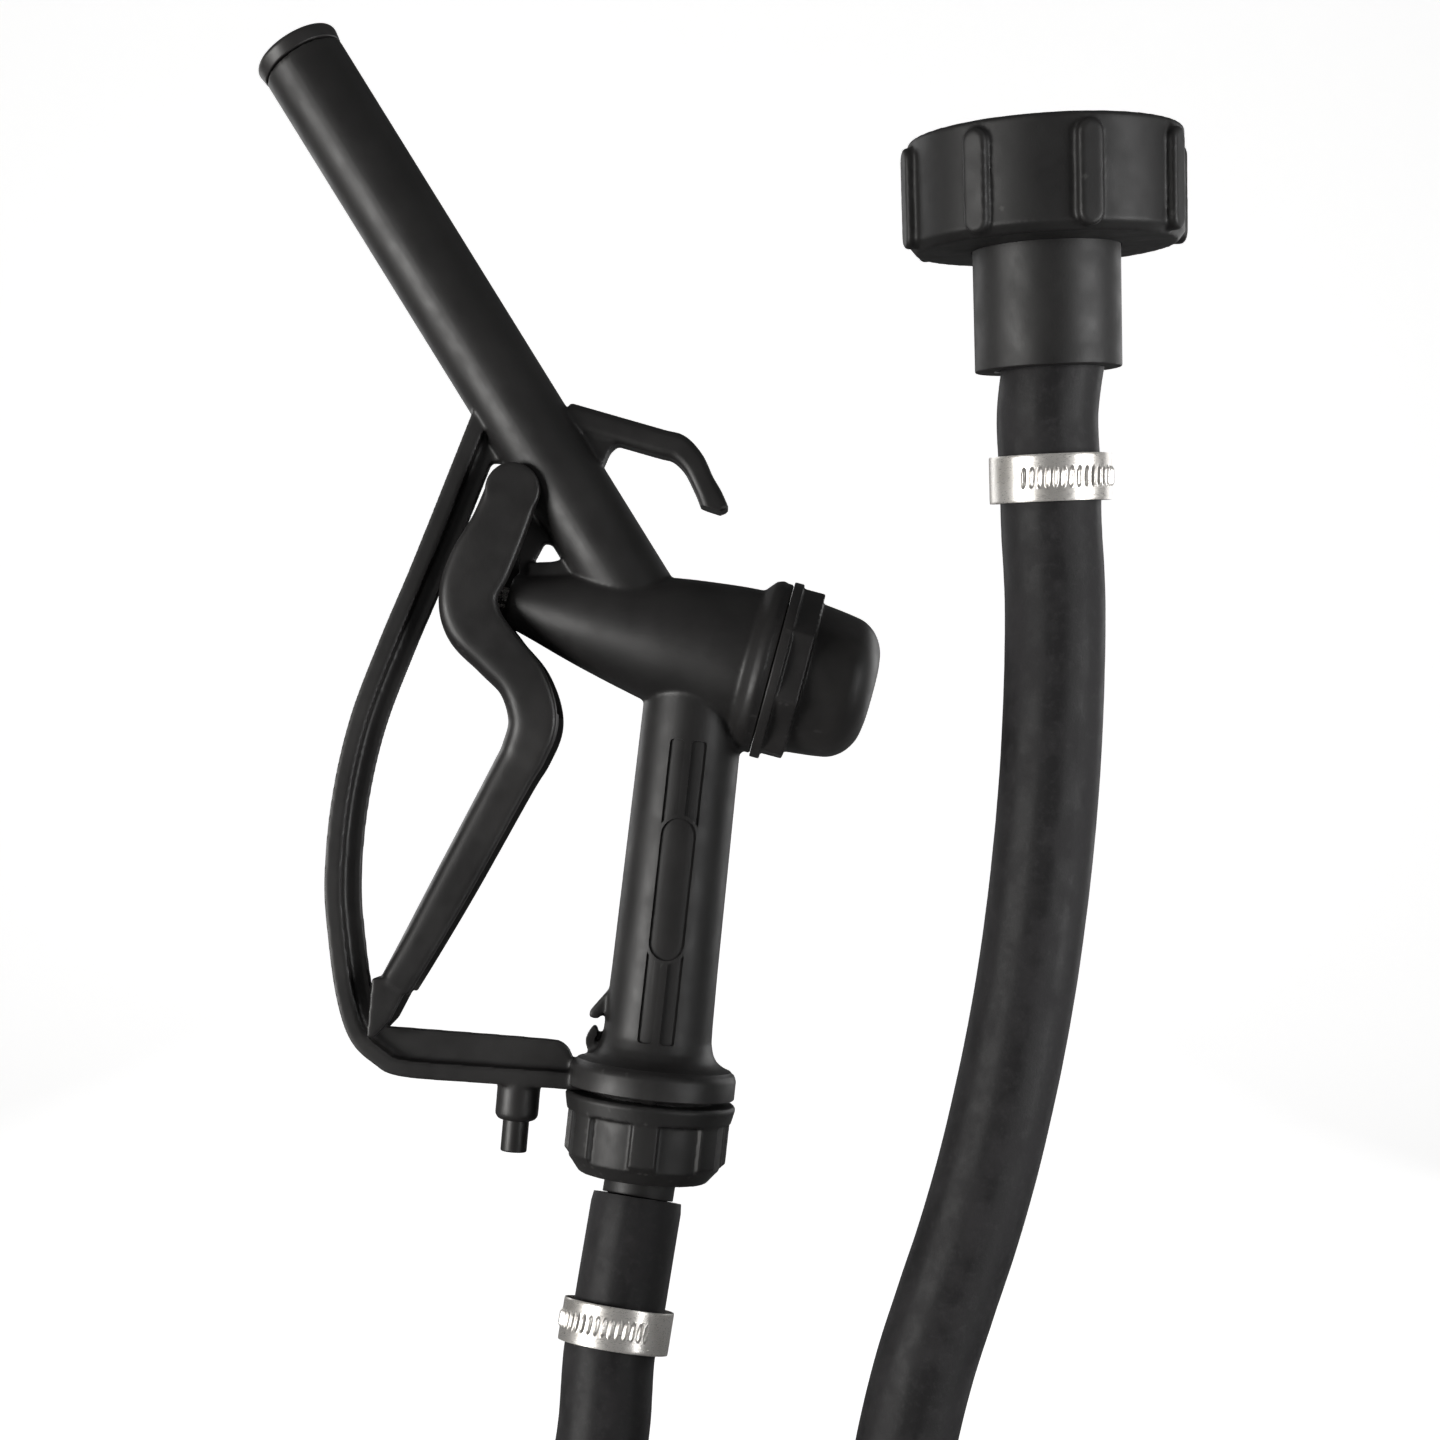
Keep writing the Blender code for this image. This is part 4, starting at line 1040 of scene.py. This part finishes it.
def make_coupling_nut():
    foot = RIM - COUPLING_HEIGHT
    work = bmesh.new()
    outside = [(0, RIM), (COUPLING_RADIUS - 0.6, RIM), (COUPLING_RADIUS, RIM - 0.6),
               (COUPLING_RADIUS, foot + 2.2), (COUPLING_RADIUS - 1.8, foot), (0, foot)]
    revolve(work, outside, COUPLING, FINE_ROUND)
    for k in range(COUPLING_RIBS):
        angle = math.radians(-90 + RIB_TURN + k * 360 / COUPLING_RIBS)
        spot = COUPLING @ Matrix.Rotation(angle, 4, "Z")
        spot = spot @ Matrix.Translation(((COUPLING_RADIUS - 0.35) * MM, 0, (RIM - 14.4) * MM))
        rib_bar(work, spot)
    nut = moulded(object_from("tank_nut_moulding", work), NUT_VOXEL, 3)
    socket = [(0, RIM + 1), (COUPLING_BORE + 0.9, RIM + 1), (COUPLING_BORE + 0.9, RIM - 0.3),
              (COUPLING_BORE, RIM - 1.6), (COUPLING_BORE, foot + 5),
              (SPIGOT_RADIUS + 0.3, foot + 5), (SPIGOT_RADIUS + 0.3, foot - 1), (0, foot - 1)]
    carve(nut, turned(socket, COUPLING, FINE_ROUND))
    finished(nut, "tank_nut", COUPLING_PLASTIC, "coupling_nut")


def make_thread():
    """The coarse female thread: a ridge winding down inside the tank nut."""
    pitch = 6.0
    turns = 2.6
    steps = 300
    run_out = 14                 # steps over which the ridge fades at each end
    section = [(0.25, -2.2), (-1.5, -0.6), (-1.5, 0.6), (0.25, 2.2)]
    work = bmesh.new()
    rings = []
    for i in range(steps + 1):
        angle = 2 * math.pi * turns * i / steps
        fade = min(1.0, i / run_out, (steps - i) / run_out)
        height = RIM - 3.4 - pitch * turns * i / steps
        loop = []
        for depth, rise in section:
            radius = COUPLING_BORE + (depth if depth > 0 else depth * fade)
            loop.append(work.verts.new(place(COUPLING, radius * math.cos(angle),
                                             radius * math.sin(angle), height + rise)))
        rings.append(loop)
    for one, two in zip(rings, rings[1:]):
        bridge(work, one, two)
    work.faces.new(rings[0])
    work.faces.new(rings[-1][::-1])
    thread = object_from("tank_nut_thread", work)
    finished(thread, "tank_nut", COUPLING_PLASTIC)


def make_spigot():
    foot = RIM - COUPLING_HEIGHT
    ledge = foot + 5.3
    profile = [(11.0, ledge + 4), (27.5, ledge + 4), (27.5, ledge), (SPIGOT_RADIUS, ledge),
               (SPIGOT_RADIUS, 0), (13.6, 0), (13.6, 12.4), (11.0, 12.4)]
    work = turned(rounded(profile, 0.5), COUPLING, FINE_ROUND)
    finished(object_from("spigot_moulding", work), "hose_line", COUPLING_PLASTIC,
             "coupling_spigot")
    washer = [(14.0, ledge + 6.6), (29.0, ledge + 6.6), (29.0, ledge + 4.1), (14.0, ledge + 4.1)]
    work = turned(rounded(washer, 0.4), COUPLING, FINE_ROUND)
    finished(object_from("tank_gasket", work), "hose_line", SEAL_RUBBER, "coupling_gasket")


# --- latch and hidden pieces ---
def make_latch_pin():
    profile = [(0, 31.9), (1.1, 31.9), (1.1, 11.7), (3.75, 11.7), (3.75, 0), (0, 0)]
    work = turned(rounded(profile, 0.5, closed=False), LATCH, PEG_ROUND)
    finished(object_from("latch_stud", work), "latch", LEVER_PLASTIC, "latch_pin")


def dress_hidden_nodes():
    """CAD pieces that stay: each gets a procedural material of its own kind."""
    looks = {"valve_seal": SEAL_RUBBER, "valve_cap_seal": SEAL_RUBBER, "stem_seal": SEAL_RUBBER,
             "union_gasket": SEAL_RUBBER, "valve_stem": SCREW_STEEL, "valve_spring": SPRING_STEEL,
             "lever_pivot_pin": SCREW_STEEL, "latch_spring": SPRING_STEEL,
             "valve_disc": INNER_PLASTIC, "stem_gland": INNER_PLASTIC,
             "coupling_tail": INNER_PLASTIC}
    for node, look in looks.items():
        obj = frame["nodes"][node]
        obj.data.materials.clear()
        obj.data.materials.append(look)


# --- stage ---
LIGHT_AIM = Vector((0, 0, -0.1))
FLOOR_GAP = 0.012
CAMERA_AT = (0.02426, -0.600, -0.1134)
IMAGE_SIDE = 1440


def make_stage():
    """A pale floor that curves up into the backdrop."""
    floor = cad_box[0][2] - FLOOR_GAP
    bend = 1.1                   # where the floor starts to curve up
    radius = 0.7
    steps = 12
    front = -2.6
    wall = 3.2
    side = 4
    profile = [(front, floor), (bend, floor)]
    for step in range(1, steps + 1):
        angle = math.radians(90 * step / steps)
        profile.append((bend + radius * math.sin(angle), floor + radius * (1 - math.cos(angle))))
    profile.append((bend + radius, floor + wall))
    work = bmesh.new()
    left = [work.verts.new((-side, y, z)) for y, z in profile]
    right = [work.verts.new((side, y, z)) for y, z in profile]
    for i in range(len(profile) - 1):
        work.faces.new((left[i], right[i], right[i + 1], left[i + 1]))
    backdrop = object_from("backdrop", work)
    for face in backdrop.data.polygons:
        face.use_smooth = True
    backdrop.data.materials.append(pale_floor())


def pale_floor():
    """White to the camera and only pale to the object, so its blacks stay black."""
    look = bpy.data.materials.new("pale_floor")
    look.use_nodes = True
    tree = look.node_tree
    shader = tree.nodes["Principled BSDF"]
    shader.inputs["Roughness"].default_value = 0.9
    shader.inputs["Emission Color"].default_value = (1, 1, 1, 1)
    sight = tree.nodes.new("ShaderNodeLightPath").outputs["Is Camera Ray"]
    for socket, dim, bright in (("Base Color", 0.22, 0.9), ("Emission Strength", 0.0, 0.72)):
        level = tree.nodes.new("ShaderNodeMapRange")
        level.inputs["To Min"].default_value = dim
        level.inputs["To Max"].default_value = bright
        tree.links.new(sight, level.inputs["Value"])
        tree.links.new(level.outputs["Result"], shader.inputs[socket])
    return look


def soft_light(name, at, size, power, colour=(1, 1, 1)):
    """A soft box aimed at the object."""
    lamp = bpy.data.lights.new(name, "AREA")
    lamp.shape = "RECTANGLE"
    lamp.size, lamp.size_y = size
    lamp.energy = power
    lamp.color = colour
    obj = bpy.data.objects.new(name, lamp)
    obj.location = at
    obj.rotation_euler = (LIGHT_AIM - Vector(at)).to_track_quat("-Z", "Y").to_euler()
    bpy.context.scene.collection.objects.link(obj)
    return obj


def make_lights():
    """Two soft boxes, one each side of the camera, two weak ones behind, and a faint sky."""
    soft_light("left_box", (-1.0, -0.68, -0.42), (0.55, 0.9), 26, (1.0, 0.99, 0.97))
    soft_light("right_box", (1.05, -0.62, -0.30), (0.5, 0.9), 15)
    for name, at in (("rear_left", (-0.85, 0.95, 0.30)), ("rear_right", (0.95, 0.85, 0.10))):
        soft_light(name, at, (0.8, 0.8), 3.5).visible_camera = False
    world = bpy.data.worlds.new("studio")
    world.use_nodes = True
    tree = world.node_tree
    sky = tree.nodes["Background"]
    sky.inputs["Color"].default_value = (1, 1, 1, 1)
    level = tree.nodes.new("ShaderNodeMapRange")
    level.inputs["To Min"].default_value = 0.13
    level.inputs["To Max"].default_value = 1.0
    tree.links.new(tree.nodes.new("ShaderNodeLightPath").outputs["Is Camera Ray"],
                   level.inputs["Value"])
    tree.links.new(level.outputs["Result"], sky.inputs["Strength"])
    bpy.context.scene.world = world
    bpy.context.scene.view_settings.view_transform = "Standard"


def make_camera():
    camera = bpy.data.cameras.new("camera")
    camera.lens = 52.5
    camera.sensor_width = 36
    camera.shift_x = -10 / IMAGE_SIDE
    camera.shift_y = 130 / IMAGE_SIDE
    obj = bpy.data.objects.new("camera", camera)
    obj.location = CAMERA_AT
    obj.rotation_euler = (math.pi / 2, 0, 0)
    bpy.context.scene.collection.objects.link(obj)
    bpy.context.scene.camera = obj


make_body()
make_end_ring()
make_cap()
make_lever()
make_union_nut()
make_tail()
make_hose()
for side_label in ("lower", "upper"):
    spot = clamp_matrix(side_label)
    make_clamp_band(side_label, spot, CLAMP_ARCS[side_label], "hose_line")
    make_clamp_box(side_label, spot, "hose_line")
    make_clamp_screw(side_label, spot)
make_coupling_nut()
make_thread()
make_spigot()
make_latch_pin()
dress_hidden_nodes()
make_stage()
make_lights()
make_camera()
